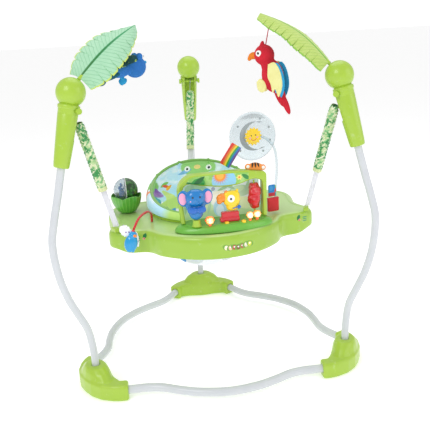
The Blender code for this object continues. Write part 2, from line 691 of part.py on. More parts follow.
# Beetle on a springy red stalk.
# The foot stands two gaps clear of the tray, because it tilts as the stalk sways.
stalk_root = Vector((-0.186, -0.048, TRAY_TOP + 2 * GAP))
stalk = empty("stalk_frame", stalk_root, tray)
stalk_path = [(0, 0, 0), (0, 0, 0.008), (-0.002, -0.008, 0.028), (-0.016, -0.040, 0.044),
              (-0.045, -0.082, 0.040), (-0.066, -0.116, 0.018)]
tube("stalk", smooth_path(stalk_path, 10), 0.0030, RED, stalk, 1)
beetle = solid("beetle", ball_mesh((0.017, 0.015, 0.034), (0, 0, -0.034)), AQUA, stalk,
               (-0.0672, -0.1182, 0.0148), (0, math.radians(13), 0))
for x, z, wide, tall in ((-0.024, -0.004, 0.020, 0.016), (0.017, -0.030, 0.013, 0.024)):
    combine(beetle, ball_mesh((wide, 0.003, tall), (x, 0.006, z), around=10, rows=6))


# ---------------------------------------------------------------- leaves and hanging toys
LEAF_ROOT = (0.398, 0.9245)  # (r, z) of a leaf's stem end
LEAF_TIPS = {"left": (0.212, 1.053), "right": (0.200, 1.066)}
LEAF_ROLL = {"left": -42.0, "right": 8.0}


def palm_leaf(side, mat):
    """A bowed leaf along the leg's bearing, with a stem that plugs into the ball."""
    tip = LEAF_TIPS[side]
    root = LEAF_ROOT
    length = math.hypot(root[0] - tip[0], tip[1] - root[1])
    slope = math.atan2(tip[1] - root[1], root[0] - tip[0])
    pivot = empty(f"leaf_pivot_{side}", (root[0], 0, root[1]), leg[side])
    rows, columns = 9, 5
    grid = []
    for i in range(rows):
        along = i / (rows - 1)
        half = 0.062 * math.sin(math.pi * min(1.0, 0.10 + 0.90 * along) ** 0.8) ** 0.7 + 0.002
        line = []
        for j in range(columns):
            across = 2 * j / (columns - 1) - 1
            bow = 0.020 * math.sin(math.pi * along) - 0.020 * across**2
            line.append(Vector((-length * along, half * across, bow)))
        grid.append(line)
    turn = Matrix.Rotation(slope, 3, "Y") @ Matrix.Rotation(math.radians(LEAF_ROLL[side]), 3, "X")
    bm = bmesh.new()
    verts = [[bm.verts.new(turn @ point) for point in line] for line in grid]
    for i in range(rows - 1):
        for j in range(columns - 1):
            bm.faces.new((verts[i][j], verts[i + 1][j], verts[i + 1][j + 1], verts[i][j + 1]))
    blade = solid(f"leaf_{side}", bm, mat, pivot)
    wall = blade.modifiers.new("Blade", "SOLIDIFY")
    wall.thickness = 0.0025
    wall.offset = 0
    outward = Vector((TOWER_BALL[0] - root[0], 0, TOWER_BALL[1] - root[1]))
    stem_end = outward * ((outward.length - BALL_R - 0.0008) / outward.length)
    middle = (stem_end + Vector((-0.030, 0, 0.022))) / 2
    run = stem_end - Vector((-0.030, 0, 0.022))
    combine(blade, rod_mesh(0.0055, run.length, middle, run, 10))


palm_leaf("right", LEAF)
palm_leaf("left", MINT)


def hanging_pivot(side, radius, z):
    return empty(f"hanging_pivot_{side}", (radius, 0, z), leg[side])


def parrot():
    """A plush parrot that hangs on a cord; local X runs outwards along the leg."""
    pivot = hanging_pivot("right", 0.2271, 1.030)
    # The shift puts its centre of mass under the cord.
    body = solid("parrot", ball_mesh((0.034, 0.022, 0.050), (0.006, 0, -0.140)), PLUSH_RED, pivot,
                 (-0.0011, 0, 0))
    combine(body, ball_mesh((0.031, 0.026, 0.031), (-0.018, 0, -0.080)))
    combine(body, rod_mesh(0.014, 0.036, (-0.055, 0, -0.084), (-1, 0, -0.15), 10, 0.004))
    combine(body, rod_mesh(0.006, 0.110, (0.034, 0, -0.195), (-0.33, 0, 1), 10, 0.022))
    combine(body, rod_mesh(0.0016, 0.060, (-0.008, 0, -0.0300), (0.22, 0, 1), 6))


def frog():
    """A plush frog that hangs level on a cord, its limbs trailing outwards."""
    pivot = hanging_pivot("left", 0.2630, 0.9980)
    body = solid("frog", ball_mesh((0.034, 0.026, 0.034), (-0.022, 0, -0.058)), PLUSH_BLUE, pivot,
                 (-0.0180, 0, 0))
    combine(body, ball_mesh((0.058, 0.022, 0.022), (0.048, 0, -0.070)))
    combine(body, ball_mesh((0.022, 0.018, 0.015), (0.092, 0, -0.086)))
    combine(body, rod_mesh(0.0016, 0.062, (0.016, 0, -0.032), (0.06, 0, 1), 6))


parrot()
frog()
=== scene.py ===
# %% [markdown]
# # Baby activity jumper
#
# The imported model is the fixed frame: it holds every pivot, size and place in metres.
# This notebook builds the visible surface round it, one piece of the real toy at a time,
# and each new piece rides on the body that moves it.

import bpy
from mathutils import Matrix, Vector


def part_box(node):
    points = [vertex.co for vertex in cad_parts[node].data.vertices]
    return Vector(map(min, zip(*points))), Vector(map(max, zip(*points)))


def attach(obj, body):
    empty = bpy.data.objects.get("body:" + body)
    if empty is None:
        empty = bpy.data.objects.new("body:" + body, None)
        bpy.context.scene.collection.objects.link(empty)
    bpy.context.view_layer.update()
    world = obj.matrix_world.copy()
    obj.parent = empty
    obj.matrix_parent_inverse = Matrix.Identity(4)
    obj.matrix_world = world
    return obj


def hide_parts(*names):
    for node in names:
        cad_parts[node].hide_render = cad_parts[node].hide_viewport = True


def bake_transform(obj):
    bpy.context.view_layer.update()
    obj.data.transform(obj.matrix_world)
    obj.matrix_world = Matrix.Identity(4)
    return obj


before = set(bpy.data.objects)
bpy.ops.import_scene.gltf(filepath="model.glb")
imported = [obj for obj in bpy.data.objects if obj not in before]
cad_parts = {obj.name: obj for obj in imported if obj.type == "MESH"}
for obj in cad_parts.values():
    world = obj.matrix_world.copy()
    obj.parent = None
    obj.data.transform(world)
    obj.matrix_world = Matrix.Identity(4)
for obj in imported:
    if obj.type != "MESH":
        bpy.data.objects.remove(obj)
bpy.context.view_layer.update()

# %% Modules
import math

import bpy
import numpy as np
from mathutils import Matrix, Vector

# %% [markdown]
# ## Places
#
# The jumper stands on three legs set evenly round one upright axis. Places on a leg are easiest
# to give along that leg, so a frame is a 4 x 4 matrix: x points outwards, y goes round, z is up.
# The tray hangs a few degrees turned from the legs, and the seat ring sits a little behind its middle.


# %% Frames
def shift(x, y, z):
    """The matrix that moves by x, y, z."""
    matrix = np.eye(4)
    matrix[:3, 3] = (x, y, z)
    return matrix


def turn(axis, degrees):
    """The matrix that turns about one of the axes X, Y, Z."""
    return np.array(Matrix.Rotation(math.radians(degrees), 4, axis))


def put(matrix, points):
    """Points of a local frame, in the world: rotation times point plus the frame's place."""
    return np.asarray(points, float) @ matrix[:3, :3].T + matrix[:3, 3]


HUB_R, HUB_NOSE = 0.445, 0.0425
CENTRE_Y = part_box("hub_rear")[1].y - HUB_R - HUB_NOSE
BEARINGS = {"left": 210, "right": 330, "rear": 90}
TRAY_YAW = 5
MIDDLE = shift(0, CENTRE_Y, 0)
LEG = {side: MIDDLE @ turn("Z", bearing) for side, bearing in BEARINGS.items()}
TRAY = MIDDLE @ turn("Z", TRAY_YAW)
SEAT = TRAY @ shift(0, 0.050, 0)
CONSOLE = TRAY @ shift(0.015, 0, 0)
TOWER_FOOT, TOWER_BALL = np.array((0.480, 0.692)), np.array((0.4275, 0.890))
TOWER_LENGTH = float(np.hypot(*(TOWER_BALL - TOWER_FOOT)))
TOWER_LEAN = math.degrees(math.atan2(*(TOWER_BALL - TOWER_FOOT)))
TOWER = {
    side: leg @ shift(TOWER_FOOT[0], 0, TOWER_FOOT[1]) @ turn("Y", TOWER_LEAN)
    for side, leg in LEG.items()
}
TRAY_BOTTOM, TRAY_TOP, TRAY_WALL = 0.394, 0.465, 0.003
print("legs stand round y =", round(CENTRE_Y, 4), "and the towers lean", round(TOWER_LEAN, 2), "degrees")

# %% [markdown]
# ## Surfaces
#
# Most plastic and cloth pieces here are a grid of points bent into a shape: rows run along
# the piece and columns run round it. Working the whole grid out as one array is quick, keeps the faces
# even, and gives every piece a cloth-like map of its own length and girth in metres.


# %% From a grid to a mesh object
def is_point(row):
    return float(np.ptp(row, axis=0).max()) < 1e-7


def signed_volume(points, faces):
    """Six times the volume that triangles fanned from each face's first corner enclose."""
    total = 0.0
    for size in {len(face) for face in faces}:
        corners = points[np.array([face for face in faces if len(face) == size])]
        for k in range(1, size - 1):
            total += np.linalg.det(corners[:, (0, k, k + 1)]).sum()
    return total


def new_object(name, points, faces, uv=None, smooth=35):
    """An object at the origin whose mesh holds these points and faces, shaded smooth up to an angle."""
    mesh = bpy.data.meshes.new(name)
    mesh.from_pydata(points.tolist(), [], faces)
    if uv is not None:
        layer = mesh.uv_layers.new(name="UVMap")
        layer.data.foreach_set("uv", np.concatenate(uv).astype(np.float32).ravel())
    mesh.validate()
    mesh.update()
    mesh.shade_smooth()
    mesh.set_sharp_from_angle(angle=math.radians(smooth))
    piece = bpy.data.objects.new(name, mesh)
    bpy.context.scene.collection.objects.link(piece)
    return piece


def surface(name, points, wrap=True, caps=True, cloth=(1, 1), smooth=35):
    """Quads between neighbours of a (rows, columns, 3) grid. wrap joins the last column to the first;
    caps closes the first and last rows with a fan. The map runs round the piece and along it, scaled
    by cloth. A closed surface that would be inside out is turned round."""
    points = np.asarray(points, float)
    hubs = [points[0].mean(0), points[-1].mean(0)]
    if caps:
        points = points[1:] if is_point(points[0]) else points
        points = points[:-1] if is_point(points[-1]) else points
    rows, cols = points.shape[:2]
    i, j = np.meshgrid(np.arange(rows - 1), np.arange(cols if wrap else cols - 1), indexing="ij")
    corners_i = np.stack([i, i, i + 1, i + 1], -1).reshape(-1, 4)
    corners_j = np.stack([j, j + 1, j + 1, j], -1).reshape(-1, 4)
    index = corners_i * cols + corners_j % cols
    faces = index.tolist()
    across = max(cols if wrap else cols - 1, 1)
    uv = list(np.stack([corners_j / across, corners_i / max(rows - 1, 1)], -1) * cloth)
    flat = points.reshape(-1, 3)
    if caps:
        ring = np.arange(cols)
        after = (ring + 1) % cols
        first, last = np.full(cols, rows * cols), np.full(cols, rows * cols + 1)
        start = np.stack([first, after, ring], -1)
        end = np.stack([last, (rows - 1) * cols + ring, (rows - 1) * cols + after], -1)
        faces += start.tolist() + end.tolist()
        u = np.stack([(ring + 0.5), ring + 1, ring], -1) / cols
        uv += list(np.stack([u, np.zeros_like(u)], -1) * cloth)
        u = np.stack([(ring + 0.5), ring, ring + 1], -1) / cols
        uv += list(np.stack([u, np.ones_like(u)], -1) * cloth)
        flat = np.concatenate([flat, hubs])
    if (caps and wrap) and signed_volume(flat, faces) < 0:
        faces = [face[::-1] for face in faces]
        uv = [corner[::-1] for corner in uv]
    return new_object(name, flat, faces, uv, smooth)


def smooth_path(points, per=8):
    """A curve through the points: on each stretch a cubic whose end slopes are half the step between
    the neighbours (Catmull-Rom)."""
    p = np.asarray(points, float)
    p = np.concatenate([[2 * p[0] - p[1]], p, [2 * p[-1] - p[-2]]])
    t = np.linspace(0, 1, per, endpoint=False)[None, :, None]
    a, b, c, d = (p[k : len(p) - 3 + k, None] for k in range(4))
    curve = 0.5 * (2 * b + (c - a) * t + (2 * a - 5 * b + 4 * c - d) * t**2 + (3 * b - a - 3 * c + d) * t**3)
    return np.concatenate([curve.reshape(-1, p.shape[1]), p[-2:-1]])


def unit(vectors):
    return vectors / np.linalg.norm(vectors, axis=-1, keepdims=True)


def path_length(path):
    return float(np.linalg.norm(np.diff(path, axis=0), axis=1).sum())


def swept(name, path, radius, sides=28, beside=(0, 0, 1), oval=1.0, cloth=None):
    """A tube: round each path point a ring whose plane is square to the path. The ring's first axis is
    the path's direction crossed with beside; oval stretches the second one."""
    path = np.asarray(path, float)
    along = unit(np.gradient(path, axis=0))
    side = unit(np.cross(along, np.asarray(beside, float)))
    up = np.cross(side, along)
    angle = np.linspace(0, 2 * math.pi, sides, endpoint=False)
    radius = np.broadcast_to(np.asarray(radius, float).reshape(-1, 1, 1), (len(path), 1, 1))
    ring = side[:, None] * np.cos(angle)[None, :, None] + up[:, None] * np.sin(angle)[None, :, None] * oval
    size = cloth or (2 * math.pi * float(radius.mean()), path_length(path))
    return surface(name, path[:, None] + ring * radius, cloth=size)


def turned(name, profile, matrix, sides=64):
    """A turned piece: the profile's radius swings about the frame's z axis at its height."""
    profile = np.asarray(profile, float)
    angle = np.linspace(0, 2 * math.pi, sides, endpoint=False)
    r, z = profile[:, :1], profile[:, 1:]
    grid = np.stack([r * np.cos(angle), r * np.sin(angle), z + 0 * angle], -1)
    size = (2 * math.pi * float(profile[:, 0].max()), path_length(profile))
    return surface(name, put(matrix, grid), cloth=size)


def ball(name, matrix, half, boxy, rows=22, cols=34):
    """An ellipsoid: cosines and sines of latitude and longitude times the three half sizes. boxy under 1
    raises them to that power, which squares the form off."""
    lat = np.linspace(-math.pi / 2, math.pi / 2, rows)[:, None]
    lon = np.linspace(0, 2 * math.pi, cols, endpoint=False)[None]

    def power(x):
        return np.sign(x) * np.abs(x) ** boxy

    grid = np.stack([
        power(np.cos(lat)) * power(np.cos(lon)) * half[0],
        power(np.cos(lat)) * power(np.sin(lon)) * half[1],
        power(np.sin(lat)) * half[2] + 0 * lon,
    ], -1)
    grid[0], grid[-1] = grid[0].mean(0), grid[-1].mean(0)
    return surface(name, put(matrix, grid), smooth=80)


# %% [markdown]
# Moulded pieces made of several forms are fused: the forms are copied into one mesh, a fine grid of
# little cubes is laid over it, and the surface that comes out is relaxed, so their joins turn into
# the soft fillets that a mould or a sewn seam has.


# %% Joining and fusing
def joined(name, pieces):
    """One object from several: their meshes end to end. The first gives the order of the materials."""
    for piece in pieces:
        piece.select_set(False)
    with bpy.context.temp_override(
        active_object=pieces[0], object=pieces[0],
        selected_objects=pieces, selected_editable_objects=pieces,
    ):
        if len(pieces) > 1:
            bpy.ops.object.join()
    pieces[0].name = name
    pieces[0].data.name = name
    return pieces[0]


def settled(piece, smooth=60):
    """The piece with its modifiers made real."""
    graph = bpy.context.evaluated_depsgraph_get()
    mesh = bpy.data.meshes.new_from_object(piece.evaluated_get(graph))
    piece.modifiers.clear()
    piece.data = mesh
    mesh.name = piece.name
    mesh.shade_smooth()
    mesh.set_sharp_from_angle(angle=math.radians(smooth))
    return piece


def modifier(piece, kind, **values):
    made = piece.modifiers.new(kind.title(), kind)
    for name, value in values.items():
        setattr(made, name, value)
    return made


def fused(name, pieces, voxel=0.0016, relax=8, smooth=60):
    """Several closed forms grown into one skin on a voxel grid, then relaxed."""
    piece = joined(name, pieces)
    modifier(piece, "REMESH", mode="VOXEL", voxel_size=voxel, use_smooth_shade=True)
    modifier(piece, "SMOOTH", factor=0.5, iterations=relax)
    return settled(piece, smooth)


def softened(name, node, voxel=0.0016, relax=8, smooth=60):
    """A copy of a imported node's form with its doubles merged and its edges relaxed."""
    piece = bpy.data.objects.new(name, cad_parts[node].data.copy())
    bpy.context.scene.collection.objects.link(piece)
    piece.data.materials.clear()
    modifier(piece, "WELD", merge_threshold=0.00002)
    return fused(name, [settled(piece)], voxel, relax, smooth)


def rounded(piece, width, segments=3, angle=40):
    """Edges sharper than the angle get a round of this width."""
    modifier(piece, "BEVEL", width=width, segments=segments, limit_method="ANGLE",
             angle_limit=math.radians(angle), harden_normals=True)
    return settled(piece, 40)


def block(name, matrix, size, centre, bevel, cuts=1):
    """A slab of this size with rounded edges; cuts splits its faces."""
    n = cuts + 1
    t = np.linspace(-0.5, 0.5, n)
    outline = np.concatenate([
        np.stack([t[:-1], np.full(cuts, -0.5)], -1), np.stack([np.full(cuts, 0.5), t[:-1]], -1),
        np.stack([-t[:-1], np.full(cuts, 0.5)], -1), np.stack([np.full(cuts, -0.5), -t[:-1]], -1),
    ])
    levels = np.linspace(-0.5, 0.5, n)
    grid = np.concatenate([np.broadcast_to(outline, (n, *outline.shape)),
                           np.broadcast_to(levels[:, None, None], (n, len(outline), 1))], -1)
    piece = surface(name, put(matrix, grid * size + centre), smooth=30)
    return rounded(piece, bevel) if bevel else piece


def cut(piece, *cutters):
    """The piece with closed forms taken out of it."""
    for cutter in cutters:
        modifier(piece, "BOOLEAN", operation="DIFFERENCE", object=cutter)
        settled(piece, 40)
        bpy.data.objects.remove(cutter)
    return piece


# %% [markdown]
# ## Finishing a piece
#
# A piece is done when it has its material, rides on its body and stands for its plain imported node.
# The print compares its box with that node's, which shows at once when something is out of place.


# %% Fix a piece to the frame
def fix(piece, body, material, slot, *nodes):
    """Gives the piece its material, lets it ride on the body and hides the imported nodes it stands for."""
    if material is not None:
        piece.data.materials.clear()
        piece.data.materials.append(material)
    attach(piece, body)
    note(piece, slot, *nodes)
    return piece


def refinish(node, material):
    """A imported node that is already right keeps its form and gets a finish."""
    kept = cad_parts[node]
    kept.data.materials.clear()
    kept.data.materials.append(material)


def note(piece, slot, *nodes):
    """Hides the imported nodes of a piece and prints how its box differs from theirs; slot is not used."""
    text = ""
    if nodes:
        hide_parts(*nodes)
        corners = [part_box(node) for node in nodes]
        low = np.min([low for low, high in corners], 0)
        high = np.max([high for low, high in corners], 0)
        points = np.empty(len(piece.data.vertices) * 3, np.float32)
        piece.data.vertices.foreach_get("co", points)
        points = points.reshape(-1, 3)
        text = f"box off by {np.abs([points.min(0) - low, points.max(0) - high]).max() * 1000:.1f} mm"
    print(f"{piece.name}: {len(piece.data.polygons)} faces {text}")


# %% [markdown]
# ## Camera, light and floor
#
# The product stands on a white sweep under large soft lamps. The camera is a little above the tray,
# a few degrees to one side and slightly rolled.

# %% Camera
CAMERA_AZIMUTH, CAMERA_ELEVATION, CAMERA_ROLL = (math.radians(a) for a in (-6.028, 16.547, -3.123))
back = np.array((
    math.sin(CAMERA_AZIMUTH) * math.cos(CAMERA_ELEVATION),
    -math.cos(CAMERA_AZIMUTH) * math.cos(CAMERA_ELEVATION),
    math.sin(CAMERA_ELEVATION),
))
right = np.array((math.cos(CAMERA_AZIMUTH), math.sin(CAMERA_AZIMUTH), 0))
upward = np.cross(back, right)
across = right * math.cos(CAMERA_ROLL) + upward * math.sin(CAMERA_ROLL)
above = upward * math.cos(CAMERA_ROLL) - right * math.sin(CAMERA_ROLL)
camera = bpy.data.objects.new("camera", bpy.data.cameras.new("camera"))
bpy.context.scene.collection.objects.link(camera)
pose = np.eye(4)
pose[:3, 0], pose[:3, 1], pose[:3, 2] = across, above, back
pose[:3, 3] = (-0.19707, -2.08183 + CENTRE_Y, 1.07219)
camera.matrix_world = Matrix(pose.tolist())
camera.data.sensor_width = 36
camera.data.lens = 56.69
bpy.context.scene.camera = camera
print("camera stands", round(float(np.linalg.norm(pose[:2, 3])), 2), "m away")


# %% Lamps, sky and floor
def lamp(name, place, target, size, watts):
    """A square soft box that looks at the target."""
    light = bpy.data.lights.new(name, "AREA")
    light.energy, light.size = watts, size
    holder = bpy.data.objects.new(name, light)
    bpy.context.scene.collection.objects.link(holder)
    holder.location = place
    holder.rotation_euler = (Vector(target) - Vector(place)).to_track_quat("-Z", "Y").to_euler()


lamp("key_light", (-1.6, -2.2, 2.6), (0, 0, 0.5), 1.4, 31)
lamp("fill_light", (2.4, -1.4, 1.6), (0, 0, 0.5), 1.8, 13)
lamp("top_light", (0.2, 0.8, 3.0), (0, 0, 0.5), 2.2, 19)
world = bpy.data.worlds.new("white_room")
world.use_nodes = True
sky = world.node_tree.nodes["Background"]
sky.inputs["Color"].default_value = (1, 1, 1, 1)
seen = world.node_tree.nodes.new("ShaderNodeLightPath")
level = world.node_tree.nodes.new("ShaderNodeMapRange")
level.inputs["To Min"].default_value, level.inputs["To Max"].default_value = 0.66, 1.1
world.node_tree.links.new(seen.outputs["Is Camera Ray"], level.inputs["Value"])
world.node_tree.links.new(level.outputs["Result"], sky.inputs["Strength"])
bpy.context.scene.world = world
bpy.context.scene.view_settings.view_transform = "Standard"
FLOOR_HALF = 30
floor_corners = np.array([(x, y, -0.0005) for x, y in ((-1, -1), (1, -1), (1, 1), (-1, 1))])
floor_corners[:, :2] *= FLOOR_HALF
floor = new_object("floor", floor_corners, [[0, 1, 2, 3]])
print("stage set")
# %% [markdown]
# ## Shader maths
#
# A material is a small network of nodes. Writing it as arithmetic is easier to read: an Ink wraps one
# socket, and adding or multiplying inks adds the Math nodes. Every other node comes from add().


# %% The Ink class
class Ink:
    """One output socket in a material's node tree, with the operators that its maths needs."""

    def __init__(self, tree, socket=None):
        self.tree, self.socket = tree, socket

    def add(self, kind, settings=None, inputs=None, out=0):
        """Any node: its type, its settings first (stops fills a colour ramp), then values or links."""
        node = self.tree.nodes.new(kind)
        for name, value in (settings or {}).items():
            if name == "stops":
                ramp = node.color_ramp
                for k, (place, colour) in enumerate(value):
                    stop = ramp.elements[k] if k < 2 else ramp.elements.new(place)
                    stop.position, stop.color = place, colour
            else:
                setattr(node, name, value)
        for name, value in (inputs or {}).items():
            if isinstance(value, Ink):
                self.tree.links.new(value.socket, node.inputs[name])
            else:
                node.inputs[name].default_value = value
        return Ink(self.tree, node.outputs[out])

    def math(self, operation, *values, clamp=False):
        inputs = dict(enumerate((self, *values)))
        return self.add("ShaderNodeMath", {"operation": operation, "use_clamp": clamp}, inputs)

    def __add__(self, other):
        return self.math("ADD", other)

    __radd__ = __add__

    def __sub__(self, other):
        return self.math("SUBTRACT", other)

    def __rsub__(self, other):
        return self.add("ShaderNodeMath", {"operation": "SUBTRACT"}, {0: other, 1: self})

    def __mul__(self, other):
        return self.math("MULTIPLY", other)

    __rmul__ = __mul__

    def __truediv__(self, other):
        return self.math("DIVIDE", other)

    def clamped(self):
        return self.math("ADD", 0.0, clamp=True)

    def sine(self):
        return self.math("SINE")

    def above(self, level, soft):
        """1 where the value is above the level and 0 below it, over a soft edge."""
        return ((self - level) / soft + 0.5).clamped()

    def below(self, level, soft):
        return ((level - self) / soft + 0.5).clamped()

    def noise(self, scale, detail=2.0, out=0):
        """Noise at this place: self is a vector socket."""
        return self.add("ShaderNodeTexNoise", None, {"Vector": self, "Scale": scale, "Detail": detail}, out)

    def cells(self, scale=1.0):
        """Distance to the nearest of scattered points: self is a vector socket."""
        return self.add("ShaderNodeTexVoronoi", {"feature": "F1"}, {"Vector": self, "Scale": scale})

    def length(self):
        return self.add("ShaderNodeVectorMath", {"operation": "LENGTH"}, {0: self}, 1)

    def beside(self, other):
        """Two inks as the first two parts of a flat vector."""
        return self.add("ShaderNodeCombineXYZ", None, {0: self, 1: other, 2: 0.0})

    def parts(self):
        return [self.add("ShaderNodeSeparateXYZ", None, {0: self}, k) for k in range(3)]

    def moved(self, place=(0, 0, 0), angles=(0, 0, 0), size=(1, 1, 1)):
        """The vector in a frame that stands at place, turned by angles in degrees, with these unit sizes."""
        values = {"Location": place, "Rotation": [math.radians(a) for a in angles], "Scale": size}
        return self.add("ShaderNodeMapping", {"vector_type": "TEXTURE"}, {"Vector": self, **values})

    def spot(self, place, size, angle=0, soft=0.12):
        """1 inside an ellipse on a flat vector: its centre, its half sizes and its turn."""
        return self.moved((*place, 0), (0, 0, angle), (*size, 1)).length().below(1.0, soft)

    def leaf(self, place, size, angle=0, soft=0.08):
        """1 inside a pointed leaf: where two discs pushed apart across its length overlap."""
        local = self.moved((*place, 0), (0, 0, angle), (size[0], size[0], 1))
        bulge = (1 - (size[1] / size[0]) ** 2) / (2 * size[1] / size[0])
        reach = bulge + size[1] / size[0]
        upper = local.spot((0, -bulge), (reach, reach), 0, soft / reach)
        lower = local.spot((0, bulge), (reach, reach), 0, soft / reach)
        return upper * lower


def paint(hexcode):
    """A #rrggbb colour as the linear values that shaders take."""
    parts = [int(hexcode[k : k + 2], 16) / 255 for k in (1, 3, 5)]
    return (*(p / 12.92 if p <= 0.04045 else ((p + 0.055) / 1.055) ** 2.4 for p in parts), 1.0)


def layered(ink, base, layers):
    """A base colour with others laid over it in turn, each through its mask. Masks are inks or numbers,
    and colours are inks or #rrggbb codes."""
    colour = paint(base) if isinstance(base, str) else base
    for mask, over in layers:
        over = paint(over) if isinstance(over, str) else over
        colour = ink.add("ShaderNodeMix", {"data_type": "RGBA"}, {0: mask, 6: colour, 7: over}, 2)
    return colour


def new_material(name):
    """A material with its shader node, and the object's own coordinates as an ink."""
    material = bpy.data.materials.new(name)
    material.use_nodes = True
    tree = material.node_tree
    shader = tree.nodes["Principled BSDF"]
    return material, shader, Ink(tree).add("ShaderNodeTexCoord", out=3)


def feed(shader, **values):
    """Sets the shader's sockets: numbers and colours directly, inks as links. Height becomes a bump."""
    height, depth = values.pop("height", None), values.pop("depth", 0.0005)
    if height is not None:
        inputs = {"Height": height, "Distance": depth, "Strength": 1.0}
        values["Normal"] = height.add("ShaderNodeBump", None, inputs)
    for name, value in values.items():
        socket = shader.inputs[name.replace("_", " ")]
        if isinstance(value, Ink):
            value.tree.links.new(value.socket, socket)
        else:
            socket.default_value = value


def cloth_map(ink):
    """The piece's own map, in metres round and along it."""
    return ink.add("ShaderNodeTexCoord", None, None, 2)


# %% [markdown]
# ## Moulded plastic
#
# Polypropylene toys have one strong colour, a satin skin with a fine grain from the mould, slightly paler
# where the melt ran thin, and a few dull rub marks. Large noise shifts the colour a little, fine
# noise gives the grain and a middle one varies the gloss.


# %% Plastics
def moulded(name, colour, pale, gloss, coat=0.0):
    """A satin toy plastic: its colour, the paler one of its thin places, its roughness and its gloss coat."""
    material, shader, place = new_material(name)
    cloud = place.noise(14.0, 3.0)
    marks = place.noise(60.0, 6.0)
    tone = layered(place, colour, [(cloud.above(0.5, 0.5) * 0.5, pale)])
    rubbed = layered(place, tone, [(marks.above(0.68, 0.10) * 0.10, "#FFFFFF")])
    feed(shader, Base_Color=rubbed, Roughness=gloss + (marks - 0.5) * 0.16,
         height=place.noise(900.0, 2.0) + marks * 0.35, depth=0.00006, Coat_Weight=coat, Coat_Roughness=0.15)
    return material


LIME = moulded("lime_plastic", "#A5C83A", "#B0CE4C", 0.33, coat=0.25)
GREEN = moulded("grass_green_plastic", "#6BB83C", "#78C048", 0.30, coat=0.3)
RED = moulded("red_plastic", "#D3202E", "#DE3038", 0.25, coat=0.5)
BLUE = moulded("blue_plastic", "#0A78C2", "#1482CC", 0.25, coat=0.5)
DEEP_BLUE = moulded("deep_blue_plastic", "#1766C4", "#1E70CC", 0.28, coat=0.4)
AQUA = moulded("aqua_plastic", "#0A98D8", "#18A2E0", 0.2, coat=0.6)
YELLOW = moulded("yellow_plastic", "#FFD61E", "#FFDD3C", 0.27, coat=0.5)
ORANGE = moulded("orange_plastic", "#F58A1F", "#F99834", 0.27, coat=0.5)
WHITE = moulded("white_plastic", "#F4F4F2", "#FFFFFF", 0.3, coat=0.3)
PINK = moulded("pink_plastic", "#F5A6CB", "#F9B6D4", 0.3, coat=0.3)
BLACK = moulded("black_plastic", "#16181C", "#22252A", 0.2, coat=0.6)
DARK_GREEN = moulded("deep_green_plastic", "#2E6B2A", "#3A7A34", 0.35)
sweep, sweep_shader, _ = new_material("white_sweep")
feed(sweep_shader, Base_Color=paint("#FFFFFF"), Roughness=0.9,
     Emission_Color=(1, 1, 1, 1), Emission_Strength=0.30)
floor.data.materials.append(sweep)
print("plastics ready")


# %% [markdown]
# Steel tubes are powder coated: a white polyester skin with a faint orange-peel, hard to see except in
# the highlights. The springs are bare drawn wire.


# %% Coated and bare steel
def powder_coat():
    material, shader, place = new_material("powder_coat")
    peel = place.noise(420.0, 2.0)
    dust = place.noise(26.0, 4.0)
    tone = layered(place, "#CDD1D6", [(dust.above(0.5, 0.6) * 0.5, "#DADDE1")])
    feed(shader, Base_Color=tone, Roughness=0.30 + dust * 0.12, height=peel, depth=0.00012,
         Coat_Weight=0.35, Coat_Roughness=0.2)
    return material


def drawn_wire():
    material, shader, place = new_material("spring_steel")
    drawn = place.moved(size=(1, 1, 0.02)).noise(900.0, 2.0)
    tone = layered(place, "#9BA1A8", [(drawn, "#C6CBD1")])
    feed(shader, Base_Color=tone, Metallic=1.0, Roughness=0.26 + drawn * 0.18)
    return material


COAT = powder_coat()
STEEL = drawn_wire()


# %% [markdown]
# ## Woven cloth
#
# Cloth shows its threads close up: one set crosses the other, each over and under in turn. The product
# of a sine round the piece and a sine along it gives that height, and it needs the piece's own map so
# that threads follow its folds. The sleeve is printed with leaves in two greens on a pale ground.


# %% Sleeve and webbing
def weave_height(cloth, pitch):
    """Plain weave: the warp's ridge where one sine is positive, the weft's where it is negative."""
    u, v, _ = cloth.parts()
    turns = 2 * math.pi / pitch
    return (u * turns).sine() * (v * turns).sine() * 0.5 + 0.5


def sleeve_cloth():
    material, shader, place = new_material("leaf_print_sleeve")
    cloth = cloth_map(place)
    spread = cloth.add("ShaderNodeVectorMath", {"operation": "ADD"}, {
        0: cloth, 1: cloth.noise(40.0, 3.0, 1).moved((0.5, 0.5, 0.5), size=(90, 90, 90))})
    large = spread.moved(size=(0.022, 0.030, 1)).cells()
    blades = spread.moved(angles=(0, 0, 38), size=(0.008, 0.022, 1)).noise(1.0, 3.0)
    fine = spread.moved(angles=(0, 0, -50), size=(0.007, 0.016, 1)).noise(1.0, 2.0)
    weave = weave_height(cloth, 0.0011)
    tone = layered(place, "#E4EFC0", [
        (blades.above(0.50, 0.05), "#BFE0A0"),
        (fine.above(0.55, 0.05), "#84C686"),
        (large.above(0.56, 0.06) * blades.above(0.46, 0.06), "#3F9C55"),
        (fine.below(0.40, 0.04), "#F3F7D6"),
    ])
    feed(shader, Base_Color=tone, Roughness=0.8, height=weave, depth=0.0003,
         Sheen_Weight=0.25, Sheen_Roughness=0.5)
    return material


def webbing(name, colour, shade):
    material, shader, place = new_material(name)
    u, v, _ = cloth_map(place).parts()
    rows = (v * (2 * math.pi / 0.0022) + (u * (2 * math.pi / 0.0036)).sine() * 1.4).sine() * 0.5 + 0.5
    tone = layered(place, colour, [((1 - rows) * 0.55, shade)])
    feed(shader, Base_Color=tone, Roughness=0.72, height=rows, depth=0.0005, Sheen_Weight=0.2)
    return material


SLEEVE = sleeve_cloth()
STRAP = webbing("white_webbing", "#F5F5FB", "#D9DAE6")


